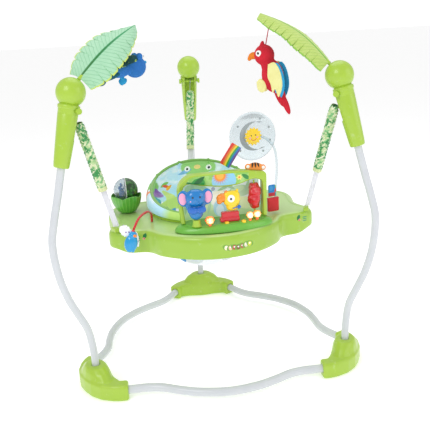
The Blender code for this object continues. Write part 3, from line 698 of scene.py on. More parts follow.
def hem_cloth():
    material, shader, place = new_material("sleeve_hem")
    cloth = cloth_map(place)
    weave = weave_height(cloth, 0.0011)
    dots = cloth.noise(160.0, 1.0)
    tone = layered(place, "#E6ECB4", [(dots.above(0.58, 0.05) * 0.6, "#B9DC9A")])
    feed(shader, Base_Color=tone, Roughness=0.82, height=weave, depth=0.0003, Sheen_Weight=0.2)
    return material


HEM = hem_cloth()
print("cloths ready")

# %% [markdown]
# ## Base ring and uprights
#
# Three pairs of bent tubes spread from each foot block and meet halfway, where one is pushed into the
# other. A bend keeps the tube's girth, so each is one ring carried along the centre line. The uprights
# rise from the foot blocks, bow outwards and lean back in to the towers.

# %% Tubes
HALF_TUBE = np.array([
    (0.302, -0.2948), (0.270, -0.2950), (0.232, -0.2955), (0.190, -0.3050),
    (0.140, -0.3300), (0.080, -0.3530), (0.0, -0.365),
])
BASE_TUBE_Z, BASE_TUBE_R = 0.027, 0.0125
UPRIGHT_PATH = np.array([
    (0.445, 0.045), (0.445, 0.080), (0.447, 0.135), (0.457, 0.200), (0.482, 0.258), (0.506, 0.315),
    (0.526, 0.392), (0.533, 0.480), (0.520, 0.545), (0.501, 0.612), (0.480, 0.692), (0.4754, 0.7094),
])
UPRIGHT_R = 0.011
half = np.column_stack([HALF_TUBE, np.full(len(HALF_TUBE), BASE_TUBE_Z)])
mirrored = half[-2::-1] * (-1, 1, 1)
whole = smooth_path(np.concatenate([half, mirrored]), 10)
for node, bearing in (("base_tube_front", 0), ("base_tube_right", 120), ("base_tube_left", 240)):
    path = put(MIDDLE @ turn("Z", bearing), whole)
    fix(swept(node + "_coated", path, BASE_TUBE_R, 32), "frame", COAT, "white_paint", node)
for side, leg in LEG.items():
    line = smooth_path(UPRIGHT_PATH, 8)
    path = put(leg, np.column_stack([line[:, 0], 0 * line[:, 0], line[:, 1]]))
    tube = swept(f"upright_{side}_coated", path, UPRIGHT_R, 32, beside=leg[:3, 1])
    fix(tube, "frame", COAT, "white_paint", f"upright_{side}")

# %% [markdown]
# ## Foot blocks
#
# Each foot is a thick moulded shell that the base tubes and an upright plug into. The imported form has
# every socket in the right place, so the visible one is that form with the round edges of a moulding.

# %% Hubs
for side in BEARINGS:
    foot_block = softened(f"foot_block_{side}", f"hub_{side}", 0.0020, 14, 50)
    fix(foot_block, "frame", LIME, "lime_plastic", f"hub_{side}")

# %% [markdown]
# ## Towers
#
# A tower is a tapered grip with a ball on top, turned in one profile: the radius at each height. Fine
# grooves show where the two halves of the mould meet and where the ball sits in its collar. The spring
# hangs on a pin inside, so a window is cut in the inner side.

# %% Towers
BALL_R = 0.0405
BALL_SEAM = math.radians(-6)
lat = np.radians(np.linspace(90, -50, 44))
groove = 0.0007 * np.exp(-(((lat - BALL_SEAM) / 0.02) ** 2))
crown = np.column_stack([(BALL_R - groove) * np.cos(lat), TOWER_LENGTH + (BALL_R - groove) * np.sin(lat)])
GRIP = np.array([
    (0.0262, 0.1738), (0.0266, 0.1722), (0.0300, 0.1708), (0.0306, 0.1690), (0.0306, 0.1640),
    (0.0301, 0.1620),
    (0.0288, 0.1606), (0.0284, 0.1590), (0.0283, 0.1480), (0.0279, 0.1470), (0.0282, 0.1460),
    (0.0262, 0.0950),
    (0.0243, 0.0500), (0.0226, 0.0150), (0.0222, 0.0100), (0.0215, 0.0030), (0.0204, 0.0007), (0.0190, 0.0),
    (0.0125, 0.0), (0.0, 0.0),
])
WINDOW, WINDOW_AT = (0.050, 0.036, 0.096), (-0.027, 0, 0.126)
for side, tower in TOWER.items():
    grip = turned(f"tower_{side}_moulded", np.concatenate([crown, GRIP]), tower, 72)
    window = block("window", tower, WINDOW, WINDOW_AT, 0.004, 2)
    fix(cut(grip, window), "frame", LIME, "lime_plastic", f"tower_{side}")

# %% [markdown]
# ## Springs, sleeves and straps
#
# The tray hangs from three springs. Each is a helix: round the line at a steady pace while it goes
# down. A gathered cloth sleeve hides it, and its folds are rings of ever changing width, so its radius is
# a sum of sines along and round it. Springs and sleeves reach from the frame to the tray and ride on no
# body; the strap below goes with the tray.

# %% Lines of the three straps
SLEEVE_TOP = (0.415, 0.806)
ANCHOR_R, ANCHOR_TOP, SLEEVE_SHARE = 0.317, 0.478, 0.62
STRAP_TURN = {"left": -45, "right": 45, "rear": 0}
TRAY_ARMS = {"left": 200, "right": 340, "rear": 90}


def strap_frame(side):
    """A frame at the top of a strap's line: z runs down it, y across the leg. Also the line's length."""
    top = put(LEG[side], (SLEEVE_TOP[0], 0, SLEEVE_TOP[1]))
    bottom = put(MIDDLE @ turn("Z", TRAY_ARMS[side] + TRAY_YAW), (ANCHOR_R, 0, ANCHOR_TOP))
    down = unit(bottom - top)
    wide = unit(LEG[side][:3, 1] - down * (LEG[side][:3, 1] @ down))
    matrix = np.eye(4)
    matrix[:3, 0], matrix[:3, 1], matrix[:3, 2], matrix[:3, 3] = np.cross(wide, down), wide, down, top
    return matrix, float(np.linalg.norm(bottom - top))


# %% Make them
COIL_R, HOOK_R, WIRE_R, TURNS = 0.0088, 0.0084, 0.0013, 14
PIN_AT = (-0.0138, 0, 0.158)
HEM_LENGTH = 0.013


def coil_path(length, pin):
    """A hook over the pin, then the helix (cos, sin, steady fall), then a straight tail."""
    bow = np.radians(np.linspace(-60, 180, 16))
    hook = np.column_stack([pin[0] + HOOK_R * np.cos(bow), 0 * bow, pin[2] - HOOK_R * np.sin(bow)])
    a = np.linspace(0, 2 * math.pi * TURNS, TURNS * 20)
    helix = np.column_stack([-COIL_R * np.cos(a), -COIL_R * np.sin(a), 0.006 + (length - 0.006) * a / a[-1]])
    tail = smooth_path([(-COIL_R, 0, length), (-0.004, 0, length + 0.004), (0, 0, length + 0.010)], 6)[1:]
    return np.concatenate([hook, helix, tail])


def gathered(length, phase):
    """The sleeve: gathers ring it, drift as they go round, and draw in at the top and above the hem."""
    s = np.linspace(0, 1, 260)[:, None]
    a = np.linspace(0, 2 * math.pi, 72, endpoint=False)[None]
    z = s * length
    folds = np.sin(2 * math.pi * z / 0.0105 + 1.6 * np.sin(a + phase) + 1.1 * np.sin(2 * a + 40 * z))
    small = np.sin(2 * math.pi * z / 0.0047 + 2.2 * np.sin(2 * a - phase) + 3 * a)
    lumps = np.sin(3 * a + 55 * z + phase) + np.sin(2 * a - 90 * z)
    calm = np.clip((length - HEM_LENGTH - z) / 0.010, 0, 1)
    closing = np.clip(z / 0.016, 0, 1) ** 0.6
    radius = 0.0137 - 0.0042 * (1 - closing) + (0.00085 * folds + 0.0004 * small) * calm + 0.00018 * lumps
    radius = radius + 0.0006 * np.exp(-(((z - length + HEM_LENGTH) / 0.0012) ** 2))
    grid = np.stack([radius * np.cos(a), radius * np.sin(a), z + 0 * a], -1)
    inner = grid[::-1] - 0.0009 * np.stack([np.cos(a), np.sin(a), 0 * a], -1)
    return np.concatenate([grid, inner, grid[:1]])


for k, side in enumerate(BEARINGS):
    line, reach = strap_frame(side)
    sleeve_end = reach * SLEEVE_SHARE
    joint = dict(start=put(line, (0, 0, 0)), end=put(line, (0, 0, sleeve_end - 0.022)))
    pin = put(np.linalg.inv(line), put(TOWER[side], PIN_AT))
    spring = swept(f"coil_spring_{side}", put(line, coil_path(sleeve_end - 0.022, pin)), WIRE_R, 8,
                   line[:3, 2])
    spring.data.materials.append(STEEL)
    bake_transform(spring)
    note(spring, "spring_steel", f"spring_{side}")
    folds = put(line, gathered(sleeve_end, 2.1 * k))
    sleeve = surface(f"gathered_sleeve_{side}", folds, caps=False, cloth=(0.090, sleeve_end * 2), smooth=80)
    modifier(sleeve, "WELD", merge_threshold=0.00001)
    settled(sleeve, 80)
    sleeve.data.materials.append(SLEEVE)
    sleeve.data.materials.append(HEM)
    heights = np.array([put(np.linalg.inv(line), face.center)[2] for face in sleeve.data.polygons])
    sleeve.data.polygons.foreach_set("material_index", (heights > sleeve_end - HEM_LENGTH).astype(np.int32))
    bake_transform(sleeve)
    note(sleeve, "print_fabric", f"sleeve_{side}")
    top, foot = sleeve_end - 0.0095, reach - 0.0034
    run = smooth_path(put(line, [(0, 0, top), (0, 0, top + (foot - top) / 2), (0, 0, foot)]), 12)
    beside = (line @ turn("Z", STRAP_TURN[side]))[:3, 0]
    band = swept(f"webbing_strap_{side}", run, 0.0092, 32, beside, 0.105, cloth=(0.040, foot - top))
    fix(band, "tray", STRAP, "webbing", f"strap_{side}")
    refinish(f"spring_pin_{side}", LIME)

# %% [markdown]
# ## Tray
#
# The tray is one moulding: a wavy outline with an arm towards each leg. Rings that follow the outline are
# lofted from the lower edge up the wall, over a rounded lip and a shallow step to the seat hole, and the
# thin wall is given its thickness afterwards. The arms are shallower than the middle, so the lower
# edge rises towards their ends.

# %% Outline
SEAT_Y, SEAT_HOLE_R = 0.050, 0.172
TRAY_HALF = [
    (0, 0.264), (15, 0.263), (27, 0.259), (36, 0.256), (48, 0.254), (54, 0.252), (60, 0.225), (66, 0.300),
    (72, 0.352), (78, 0.335), (85, 0.302), (92, 0.292), (101, 0.312), (111, 0.338), (121, 0.344),
    (131, 0.320),
    (140, 0.278), (148, 0.260), (158, 0.280), (168, 0.314), (180, 0.326),
]


def tray_outline(inset, count=360):
    """The outline's radius by bearing from the front, mirrored, averaged over 12 degrees each way, and
    moved inwards square to itself."""
    angles, radii = np.array(TRAY_HALF).T
    at = np.linspace(-180, 180, count, endpoint=False)
    radius = np.interp(at, np.r_[-angles[:0:-1], angles], np.r_[radii[:0:-1], radii])
    reach = np.arange(-11, 12)
    weight = 12 - np.abs(reach)
    radius = sum(w * np.roll(radius, s) for w, s in zip(weight / weight.sum(), reach))
    bearing = np.radians(at - 90)
    points = np.stack([radius * np.cos(bearing), radius * np.sin(bearing)], 1)
    ahead = np.roll(points, -1, 0) - np.roll(points, 1, 0)
    return points - inset * unit(np.stack([ahead[:, 1], -ahead[:, 0]], 1))


def tray_ring(inset, share, z, hole=SEAT_HOLE_R, lift=0.0):
    """A ring of the skin between the outline (share 0) and the seat hole (share 1)."""
    rim = tray_outline(inset)
    away = rim - (0, SEAT_Y)
    flat = rim + ((0, SEAT_Y) + hole * unit(away) - rim) * share
    arm = np.clip((np.linalg.norm(rim, axis=1) - 0.285) / 0.045, 0, 1)
    arm = arm * arm * (3 - 2 * arm)
    return np.column_stack([flat, z + lift * arm])


# %% Tray shell
WALL_RINGS = [
    (0.0070, TRAY_BOTTOM + 0.0002, 0.016), (0.0035, 0.3950, 0.0160), (0.0015, 0.3980, 0.0150),
    (0.0005, 0.4040, 0.0125), (0.0, 0.4130, 0.0090), (0.0, 0.4280, 0.0040), (0.0, 0.4400, 0),
    (0.0004, 0.4480, 0),
    (0.0020, 0.4545, 0), (0.0050, 0.4598, 0), (0.0092, 0.4632, 0), (0.0140, 0.4647, 0), (0.0185, 0.4650, 0),
    (0.0205, 0.4645, 0), (0.0216, 0.4630, 0), (0.0228, 0.4624, 0), (0.0252, 0.4626, 0),
]
rings = [tray_ring(inset, 0, z, lift=lift) for inset, z, lift in WALL_RINGS]
rings += [tray_ring(0.0252, share, 0.4626 + 0.0018 * share) for share in (0.2, 0.4, 0.6, 0.8, 0.93)]
rings += [tray_ring(0.0252, 1, z, hole) for hole, z in (
    (0.1750, 0.4650), (0.1735, 0.4650), (0.1725, 0.4642), (0.1720, 0.4620), (0.1720, 0.4360))]
shell = surface("tray_moulding", put(TRAY, rings), caps=False)
modifier(shell, "SOLIDIFY", thickness=TRAY_WALL - 0.0006, offset=-1)
settled(shell, 40)
print("tray wall made of", len(rings), "rings")


# %% Tray base
def base_ring(share, z, hole):
    """A ring of the cover, just inside the wall, that rises with the wall's lower edge on the arms."""
    return tray_ring(0.0102, share, z, hole, 0.016 * (1 - share))


low, high, thick = TRAY_BOTTOM + 0.0005, 0.4600, 0.0025
loop = [base_ring(share, low, 0.1600) for share in (0, 0.25, 0.5, 0.75, 1)]
loop += [base_ring(1, z, hole) for z, hole in ((0.42, 0.16), (high, 0.16), (high, 0.1683), (0.42, 0.1683))]
loop += [base_ring(share, low + thick, 0.1683) for share in (1, 0.75, 0.5, 0.25, 0)]
cover = surface("tray_cover", put(TRAY, [*loop, loop[0]]), caps=False)
modifier(cover, "WELD", merge_threshold=0.00001)
settled(cover, 40)
fix(cover, "tray", LIME, "lime_plastic", "tray_base")

# %% [markdown]
# The tray carries three small stickers: a row of fruit on the front and a leaf beside three bars on each
# front arm. They are flat ink on the wall, so they are masks in the material, placed in the tray's own frame,
# and only on faces that look forwards.


# %% Tray finish
def in_frame(place, matrix):
    """The object's coordinates seen from a frame: its place and its turn about z."""
    yaw = math.degrees(math.atan2(matrix[1, 0], matrix[0, 0]))
    return place.moved(tuple(matrix[:3, 3]), (0, 0, yaw))


def tray_finish():
    material, shader, place = new_material("tray_lime")
    x, y, z = in_frame(place, TRAY).parts()
    wall = x.beside(z)
    front = y.below(-0.09, 0.01)
    cloud, marks = place.noise(12.0, 3.0), place.noise(60.0, 6.0)
    # The upper face above 0.4612 m is painted paler: a painted highlight where light from above falls on the
    # tray top.
    top = z.above(0.4612, 0.003)
    tone = layered(place, "#9DC43E", [
        (cloud.above(0.5, 0.5) * 0.5, "#A7CC4C"),
        # Painted highlight on the tray's upper face.
        (top * 0.70, "#C4E29A"),
        (marks.above(0.68, 0.10) * 0.08, "#FFFFFF"),
    ])
    prints = []
    for k, (at, high, colour) in enumerate((
        (0.000, 0.4275, "#FFF6C8"), (0.012, 0.4260, "#F2C9A0"), (0.024, 0.4260, "#C8402E"),
        (0.036, 0.4250, "#8A5A2A"), (0.048, 0.4265, "#B4643A"), (0.060, 0.4285, "#E8E2C0"),
        (0.072, 0.4290, "#DCE23A"),
    )):
        prints.append((wall.leaf((at, high + 0.0010), (0.0125, 0.0085), 20 if k % 2 else -25, 0.1),
                       "#6FA63A"))
        prints.append((wall.spot((at, high), (0.0060, 0.0070), 0, 0.2), colour))
        prints.append((wall.spot((at, high + 0.0016), (0.0030, 0.0022), 0, 0.3), "#FFFFFF"))
    for at, step in ((-0.231, 1), (0.277, -1)):
        for row in range(3):
            bar = wall.spot((at - 0.010 * step, 0.4345 + 0.0058 * row), (0.0085, 0.0015), 0, 0.3)
            prints.append((bar, "#2F8F74"))
        prints.append((wall.leaf((at + 0.012 * step, 0.4475), (0.0095, 0.0052), 62, 0.1), "#1F7A3C"))
        prints.append((wall.spot((at + 0.009 * step, 0.4395), (0.0042, 0.0036), 20, 0.2), "#E79A8C"))
        prints.append((wall.spot((at + 0.010 * step, 0.4392), (0.0018, 0.0018), 0, 0.3), "#B4372C"))
    tone = layered(place, tone, [(mask * front, colour) for mask, colour in prints])
    feed(shader, Base_Color=tone, Roughness=0.31 + (marks - 0.5) * 0.16,
         height=place.noise(900.0, 2.0) + marks * 0.35,
         depth=0.00006, Coat_Weight=0.3, Coat_Roughness=0.15)
    return material


TRAY_FINISH = tray_finish()
fix(shell, "tray", TRAY_FINISH, "lime_plastic", "tray_shell")


for side in BEARINGS:
    refinish(f"strap_anchor_{side}", LIME)

# %% [markdown]
# ## Seat
#
# The seat is a padded cloth bucket that hangs in a ring, with a collar that rises to a high back. It is
# laid out as rings with the outer skin going down and the inner skin coming up, sewn channels are drawn in
# as dips, and then a short cloth simulation blows the filling up between the seams.

# %% Seat form
SEAT_RINGS = np.array([
    # radius, height, extra rise at the back, front-to-back squeeze
    (0.1690, 0.4925, 0.0995, 1.0), (0.1790, 0.4945, 0.0940, 1.0), (0.1870, 0.4880, 0.0760, 1.0),
    (0.1885, 0.4815, 0.0500, 1.0), (0.1850, 0.4765, 0.0280, 1.0), (0.1660, 0.4745, 0.0110, 1.0),
    (0.1512, 0.4735, 0.0040, 1.0), (0.1495, 0.4560, 0.0, 1.0), (0.1470, 0.4300, 0.0, 1.0),
    (0.1360, 0.3820, 0.0, 1.0),
    (0.1120, 0.3240, 0.0, 0.87), (0.0780, 0.2900, 0.0, 0.82), (0.0350, 0.2835, 0.0, 0.80),
    (0.0, 0.2828, 0.0, 0.80),
])
CHANNELS = 10
SEAT_MIDDLE = np.array((0, 0, 0.55))


def seat_skin(count=160, rows=70):
    """Rings from the rim down the outside, smoothed into a curve; rise follows (1 + cos) / 2 of the bearing
    from the back, to the power 1.4."""
    ring = smooth_path(SEAT_RINGS, 12)
    steps = np.concatenate([[0], np.cumsum(np.linalg.norm(np.diff(ring[:, :3], axis=0), axis=1))])
    even = np.linspace(0, steps[-1], rows)
    ring = np.stack([np.interp(even, steps, column) for column in ring.T], -1)
    a = np.linspace(0, 2 * math.pi, count, endpoint=False)[None]
    back_share = (0.5 + 0.5 * np.sin(a)) ** 1.4
    radius, low, rise, squeeze = (ring[:, k : k + 1] for k in range(4))
    return np.stack([radius * np.cos(a), radius * squeeze * np.sin(a), low + rise * back_share], -1)


def grid_normals(grid):
    along = np.gradient(grid, axis=0)
    wide = (np.roll(grid, -1, 1) - np.roll(grid, 1, 1)) / 2
    normal = np.cross(wide, along)
    size = np.linalg.norm(normal, axis=-1, keepdims=True)
    return normal / np.maximum(size, 1e-9)


outer = seat_skin()
inward = grid_normals(outer)
inward *= np.sign((inward[5] * (SEAT_MIDDLE - outer[5])).sum())
down = np.linspace(0, 1, outer.shape[0])[:, None]
bearing = np.linspace(0, 2 * math.pi, outer.shape[1], endpoint=False)[None]
seam = 1 - np.exp(-(np.sin(bearing * CHANNELS / 2) / 0.10) ** 2)
collar = np.clip(1 - down / 0.34, 0, 1) ** 0.5
wall = 0.0034 + (0.0062 * seam + 0.0008) * collar
inner = outer + inward * wall[..., None]
inner[-1] = outer[-1] + (0, 0, 0.0040)
lip = (outer[0] + inner[0]) / 2 + (0, 0, 0.0022)
seat_grid = np.concatenate([outer[::-1], lip[None], inner])
pad = surface("padded_seat", put(SEAT, seat_grid), cloth=(1.05, 0.9), smooth=80)
print("seat grid", seat_grid.shape, "wall from", round(float(wall.min()) * 1000, 1), "mm")


# %% Blow the filling up
def puffed(piece, pressure=4.0, most=0.006, frames=20):
    """A closed cloth with air pressure in it, no gravity, run for some frames. No point moves further
    than the cap, and the result becomes the mesh."""
    before = np.empty(len(piece.data.vertices) * 3, np.float32)
    piece.data.vertices.foreach_get("co", before)
    cloth = modifier(piece, "CLOTH")
    cloth.settings.use_pressure = True
    cloth.settings.uniform_pressure_force = pressure
    cloth.settings.effector_weights.gravity = 0
    cloth.settings.quality = 4
    cloth.settings.tension_stiffness = cloth.settings.compression_stiffness = 20
    cloth.collision_settings.use_collision = False
    cloth.point_cache.frame_start, cloth.point_cache.frame_end = 1, frames
    for number in range(1, frames + 1):
        bpy.context.scene.frame_set(number)
    mesh = piece.evaluated_get(bpy.context.evaluated_depsgraph_get()).to_mesh()
    after = np.empty_like(before)
    mesh.vertices.foreach_get("co", after)
    piece.modifiers.clear()
    bpy.context.scene.frame_set(1)
    move = (after - before).reshape(-1, 3)
    length = np.linalg.norm(move, axis=1, keepdims=True)
    move *= np.minimum(1, most / np.maximum(length, 1e-9))
    piece.data.vertices.foreach_set("co", (before.reshape(-1, 3) + move).ravel())
    piece.data.update()
    print(piece.name, "moved up to", round(float(length.max()) * 1000, 1), "mm")
    return piece


puffed(pad, 3.0, 0.0035)

# %% [markdown]
# Two round leg holes go through the bucket, and the front of its rim is bound with green tape. The lining
# is printed: a sky with clouds, hills, leaves, a bush, daisies, a green face with two eyes and plain
# green panels. The print wraps round, so it is drawn on bearing and height: the bearing from the back
# times the radius gives metres along the cloth.

# %% Leg holes and binding
LEG_HOLE_R = 0.046
for way in (-1, 1):
    aim = unit(np.array((way * 0.55, -0.72, -0.45)))
    spot = np.array((way * 0.070, -0.080, 0.335))
    plug = swept("plug", put(SEAT, np.linspace(spot - aim * 0.05, spot + aim * 0.05, 3)), LEG_HOLE_R, 40)
    cut(pad, plug)
rim_line = lip + (0, 0, 0.0006)
angle = np.linspace(0, 2 * math.pi, 14, endpoint=False)[None, :, None]
outwards = unit(rim_line * (1, 1, 0))[:, None]
tape_round = outwards * np.cos(angle) + np.array((0, 0, 1.0)) * np.sin(angle) * 0.85
tape_grid = rim_line[:, None] + 0.0052 * tape_round
tape_grid = np.concatenate([tape_grid, tape_grid[:1]])
tape = surface("seat_binding", put(SEAT, tape_grid), caps=False, cloth=(0.03, 1.06), smooth=80)
modifier(tape, "WELD", merge_threshold=0.00001)
settled(tape, 80)


# %% Seat cloth
def seat_print():
    material, shader, place = new_material("printed_seat_cloth")
    x, y, z = in_frame(place, SEAT).parts()
    arc = (x * -1).math("ARCTAN2", y) * 0.165
    flat = arc.beside(z)
    wave = flat.noise(28.0, 2.0)
    cloud = flat.moved(size=(1.6, 0.8, 1)).noise(26.0, 4.0)
    wavy = arc.beside(z + (wave - 0.5) * 0.03)
    layers = [
        (cloud.above(0.50, 0.14) * 0.75, "#F2F9FE"),
        (z.below(0.505, 0.03) * 0.8, "#A5DAF0"),
        (wavy.spot((-0.015, 0.5680), (0.060, 0.034), 0, 0.1), "#9BD27E"),
        (flat.spot((-0.012, 0.5640), (0.011, 0.008), 0, 0.1), "#F6D98A"),
        (wavy.spot((0.19, 0.520), (0.050, 0.028), 0, 0.1), "#8CC870"),
        (wavy.spot((-0.06, 0.500), (0.090, 0.030), 0, 0.1), "#A7D47C"),
        (wavy.spot((0.235, 0.500), (0.020, 0.034), 10, 0.12), "#F4794A"),
        (wavy.spot((0.243, 0.520), (0.008, 0.022), -20, 0.15), "#F79A6A"),
        (flat.leaf((0.165, 0.5000), (0.028, 0.010), 16), "#A27CC0"),
        (flat.leaf((0.150, 0.5080), (0.018, 0.006), 40), "#8C62B4"),
        (flat.leaf((0.200, 0.4900), (0.030, 0.012), -30), "#3FA7B4"),
        (flat.leaf((0.215, 0.4820), (0.022, 0.010), 30), "#2F93A0"),
        (flat.leaf((0.112, 0.5200), (0.020, 0.007), -14), "#7CC058"),
        (flat.leaf((0.104, 0.5120), (0.020, 0.005), 20), "#E45A3C"),
        (flat.leaf((0.095, 0.5060), (0.016, 0.005), -24), "#F2B02E"),
        (flat.leaf((0.030, 0.5500), (0.024, 0.007), -18), "#7DB7E2"),
        (flat.leaf((-0.100, 0.5250), (0.024, 0.008), 18), "#F2A03C"),
        (flat.leaf((-0.150, 0.5050), (0.026, 0.010), -12), "#7C6CC0"),
    ]
    panel = wavy.spot((0.122, 0.448), (0.034, 0.050), 0, 0.06)
    layers.append((panel, "#C4DF82"))
    layers.append((wavy.spot((-0.190, 0.470), (0.060, 0.050), 0, 0.06), "#B9DA78"))
    for at in (0.022, -0.050):
        layers.append((flat.spot((at, 0.5600), (0.0095, 0.0095)), "#FFFFFF"))
        layers.append((flat.spot((at, 0.5590), (0.0040, 0.0046)), "#23303A"))
    for centre in ((0.188, 0.4720), (-0.135, 0.4860)):
        petal = np.radians(np.arange(0, 180, 36))
        layers += [(flat.leaf(centre, (0.0135, 0.0036), math.degrees(a)), "#FFFFFF") for a in petal]
        layers.append((flat.spot(centre, (0.0034, 0.0034)), "#D83A2E"))
    green_front = z.below(0.4775, 0.004) + arc.math("ABSOLUTE").above(0.37, 0.03)
    layers.append((green_front.clamped() * z.below(0.515, 0.004), "#B7DB74"))
    layers.append((z.below(0.435, 0.004), "#EBECF6"))
    strip = x.above(-0.106, 0.002) * x.below(-0.080, 0.002)
    layers.append((z.below(0.4400, 0.002) * strip, "#3C8FCB"))
    tone = layered(place, "#C6E7FB", layers)
    turns = 2 * math.pi / 0.0013
    weave = (arc * turns).sine() * (z * turns).sine() * 0.5 + 0.5
    wrinkle = flat.moved(size=(0.6, 1.8, 1)).noise(45.0, 3.0)
    # The print also glows a little with its own colour: painted light that lifts the shade inside the seat.
    feed(shader, Base_Color=tone, Roughness=0.78, height=weave * 0.25 + wrinkle * 1.6, depth=0.0008,
         Sheen_Weight=0.25, Sheen_Roughness=0.4, Emission_Color=tone, Emission_Strength=0.16)
    return material


def binding_tape():
    material, shader, place = new_material("green_binding_tape")
    ribs = (cloth_map(place).parts()[1] * (2 * math.pi / 0.0016)).sine() * 0.5 + 0.5
    x, y, z = in_frame(place, SEAT).parts()
    warm = (x * -1).math("ARCTAN2", y).above(1.05, 0.15) * z.above(0.50, 0.02)
    tone = layered(place, "#86C05E", [(ribs * 0.35, "#6BAA48"), (warm * 0.4, "#A9D08C")])
    feed(shader, Base_Color=tone, Roughness=0.75, height=ribs, depth=0.0004, Sheen_Weight=0.2)
    return material


fix(pad, "seat", seat_print(), "seat_cloth", "seat_fabric")
fix(tape, "seat", binding_tape(), "seat_cloth")
refinish("seat_ring", LIME)

# %% [markdown]
# ## Play console
#
# A domed green plate sits on the front of the tray with its back cut round to clear the seat. Over it
# stands a lime arch, which is a flat outline given depth, with all its edges rounded, so a filled
# curve is the natural tool. Printed card closes the arch: a fascia label on its brow and a
# jungle scene behind the toys.

# %% Console plate
CONSOLE_TOP = 0.4870
ARCH_Y, ARCH_DEPTH, ARCH_HALF, ARCH_TOP = -0.1685, 0.034, 0.133, 0.630
BUTTONS, BUTTON_Y = {"left": 0.000, "right": 0.050}, -0.2180
ELEPHANT = (-0.088, -0.212)
PLATE_RINGS = [
    (1.0, 0.4653), (1.0, 0.4675), (0.996, 0.4700), (0.986, 0.4730), (0.968, 0.4762), (0.945, 0.4790),
    (0.915, 0.4818), (0.885, 0.4838), (0.862, 0.4846), (0.850, 0.4842), (0.842, 0.4850), (0.830, 0.4866),
    (0.815, 0.4870), (0.5, 0.4870), (0.0, 0.4870),
]
bearing = np.linspace(0, 2 * math.pi, 180, endpoint=False)
plate_rings = [
    np.column_stack([0.148 * grow * np.cos(bearing), -0.176 + 0.062 * grow * np.sin(bearing),
                     z + 0 * bearing])
    for grow, z in PLATE_RINGS
]
console_plate = surface("console_plate", put(CONSOLE, plate_rings))
cutters = [turned("cutter", [(0, 0.53), (0.192, 0.53), (0.192, 0.45), (0, 0.45)], SEAT, 160)]
for x in BUTTONS.values():
    at = CONSOLE @ shift(x, BUTTON_Y, CONSOLE_TOP)
    cutters.append(turned("cutter", [(0, 0.01), (0.008, 0.01), (0.008, -0.008), (0, -0.008)], at, 40))
cut(console_plate, *cutters)
fix(rounded(console_plate, 0.0008, 2, 50), "tray", GREEN, "green_plastic", "console_base")
post = turned("elephant_post", [
    (0.0, 0.0190), (0.0085, 0.0189), (0.0105, 0.0178), (0.0110, 0.0160), (0.0114, 0.0120), (0.0122, 0.0060),
    (0.0128, 0.0010), (0.0150, -0.0004), (0.0, -0.0004),
], CONSOLE @ shift(*ELEPHANT, CONSOLE_TOP), 48)
fix(post, "tray", LIME, "lime_plastic")
for side, x in BUTTONS.items():
    button = turned(f"press_button_{side}", [
        (0.0, 0.0053), (0.0022, 0.0052), (0.0042, 0.0046), (0.0060, 0.0034), (0.0068, 0.0022),
        (0.0070, 0.0008),
        (0.0070, -0.0040), (0.0, -0.0040),
    ], CONSOLE @ shift(x, BUTTON_Y, CONSOLE_TOP), 40)
    fix(button, f"button_{side}", YELLOW, "yellow_plastic", f"button_{side}")


# %% Flat outlines with depth
def arc(centre, radius, start, end, count):
    a = np.radians(np.linspace(start, end, count))
    return np.column_stack([centre[0] + radius * np.cos(a), centre[1] + radius * np.sin(a)])


def plate(name, outline, depth, bevel, matrix, smooth=40):
    """A filled flat outline in x and z, with this depth along the frame's y and rounded edges."""
    curve = bpy.data.curves.new(name, "CURVE")
    curve.dimensions, curve.fill_mode = "2D", "BOTH"
    curve.extrude, curve.bevel_depth, curve.offset = depth / 2 - bevel, bevel, -bevel
    curve.bevel_resolution = 3
    line = curve.splines.new("POLY")
    line.points.add(len(outline) - 1)
    flat_points = np.column_stack([outline, np.zeros(len(outline)), np.ones(len(outline))])
    line.points.foreach_set("co", flat_points.ravel())
    line.use_cyclic_u = True
    flat = bpy.data.objects.new(name, curve)
    bpy.context.scene.collection.objects.link(flat)
    mesh = bpy.data.meshes.new_from_object(flat.evaluated_get(bpy.context.evaluated_depsgraph_get()))
    bpy.data.objects.remove(flat)
    mesh.transform(Matrix((np.asarray(matrix) @ turn("X", 90)).tolist()))
    piece = bpy.data.objects.new(name, mesh)
    bpy.context.scene.collection.objects.link(piece)
    modifier(piece, "WELD", merge_threshold=0.00001)
    return settled(piece, smooth)


# %% Arch
foot = CONSOLE_TOP + 0.0003
outer_line = np.concatenate([
    [(-ARCH_HALF + 0.006, foot), (-ARCH_HALF + 0.001, 0.545)],
    arc((-ARCH_HALF + 0.050, 0.580), 0.050, 176, 95, 16),
    smooth_path([(-0.070, ARCH_TOP), (0.000, ARCH_TOP), (0.060, ARCH_TOP - 0.0003), (0.121, 0.6222)],
                5)[1:-1],
    arc((ARCH_HALF - 0.012, 0.610), 0.012, 85, 0, 8), [(ARCH_HALF - 0.002, foot)],
])
inner_line = np.concatenate([
    [(ARCH_HALF - 0.014, foot), (ARCH_HALF - 0.0125, 0.588)],
    smooth_path([(0.117, 0.598), (0.090, 0.602), (0.045, 0.590), (0.0, 0.588), (-0.060, 0.596),
                 (-0.095, 0.604),
                 (-0.112, 0.600), (-0.122, 0.583)], 6),
    [(-ARCH_HALF + 0.0125, 0.540), (-ARCH_HALF + 0.017, foot)],
])
ARCH = CONSOLE @ shift(0, ARCH_Y, 0)
arch = plate("toy_arch", np.concatenate([outer_line, inner_line]), ARCH_DEPTH, 0.0038, ARCH)
fix(arch, "tray", LIME, "lime_plastic", "console_arch")
label_line = np.concatenate([
    smooth_path([(-0.108, 0.6080), (-0.060, 0.6000), (0.0, 0.5925), (0.045, 0.5945), (0.078, 0.6035)], 6),
    smooth_path([(0.078, 0.6240), (0.040, 0.6258), (-0.050, 0.6258), (-0.082, 0.6250), (-0.100, 0.6190)], 6),
])
label = plate("brow_label", label_line, 0.0006, 0.0001, ARCH @ shift(0, -ARCH_DEPTH / 2 - 0.0001, 0))


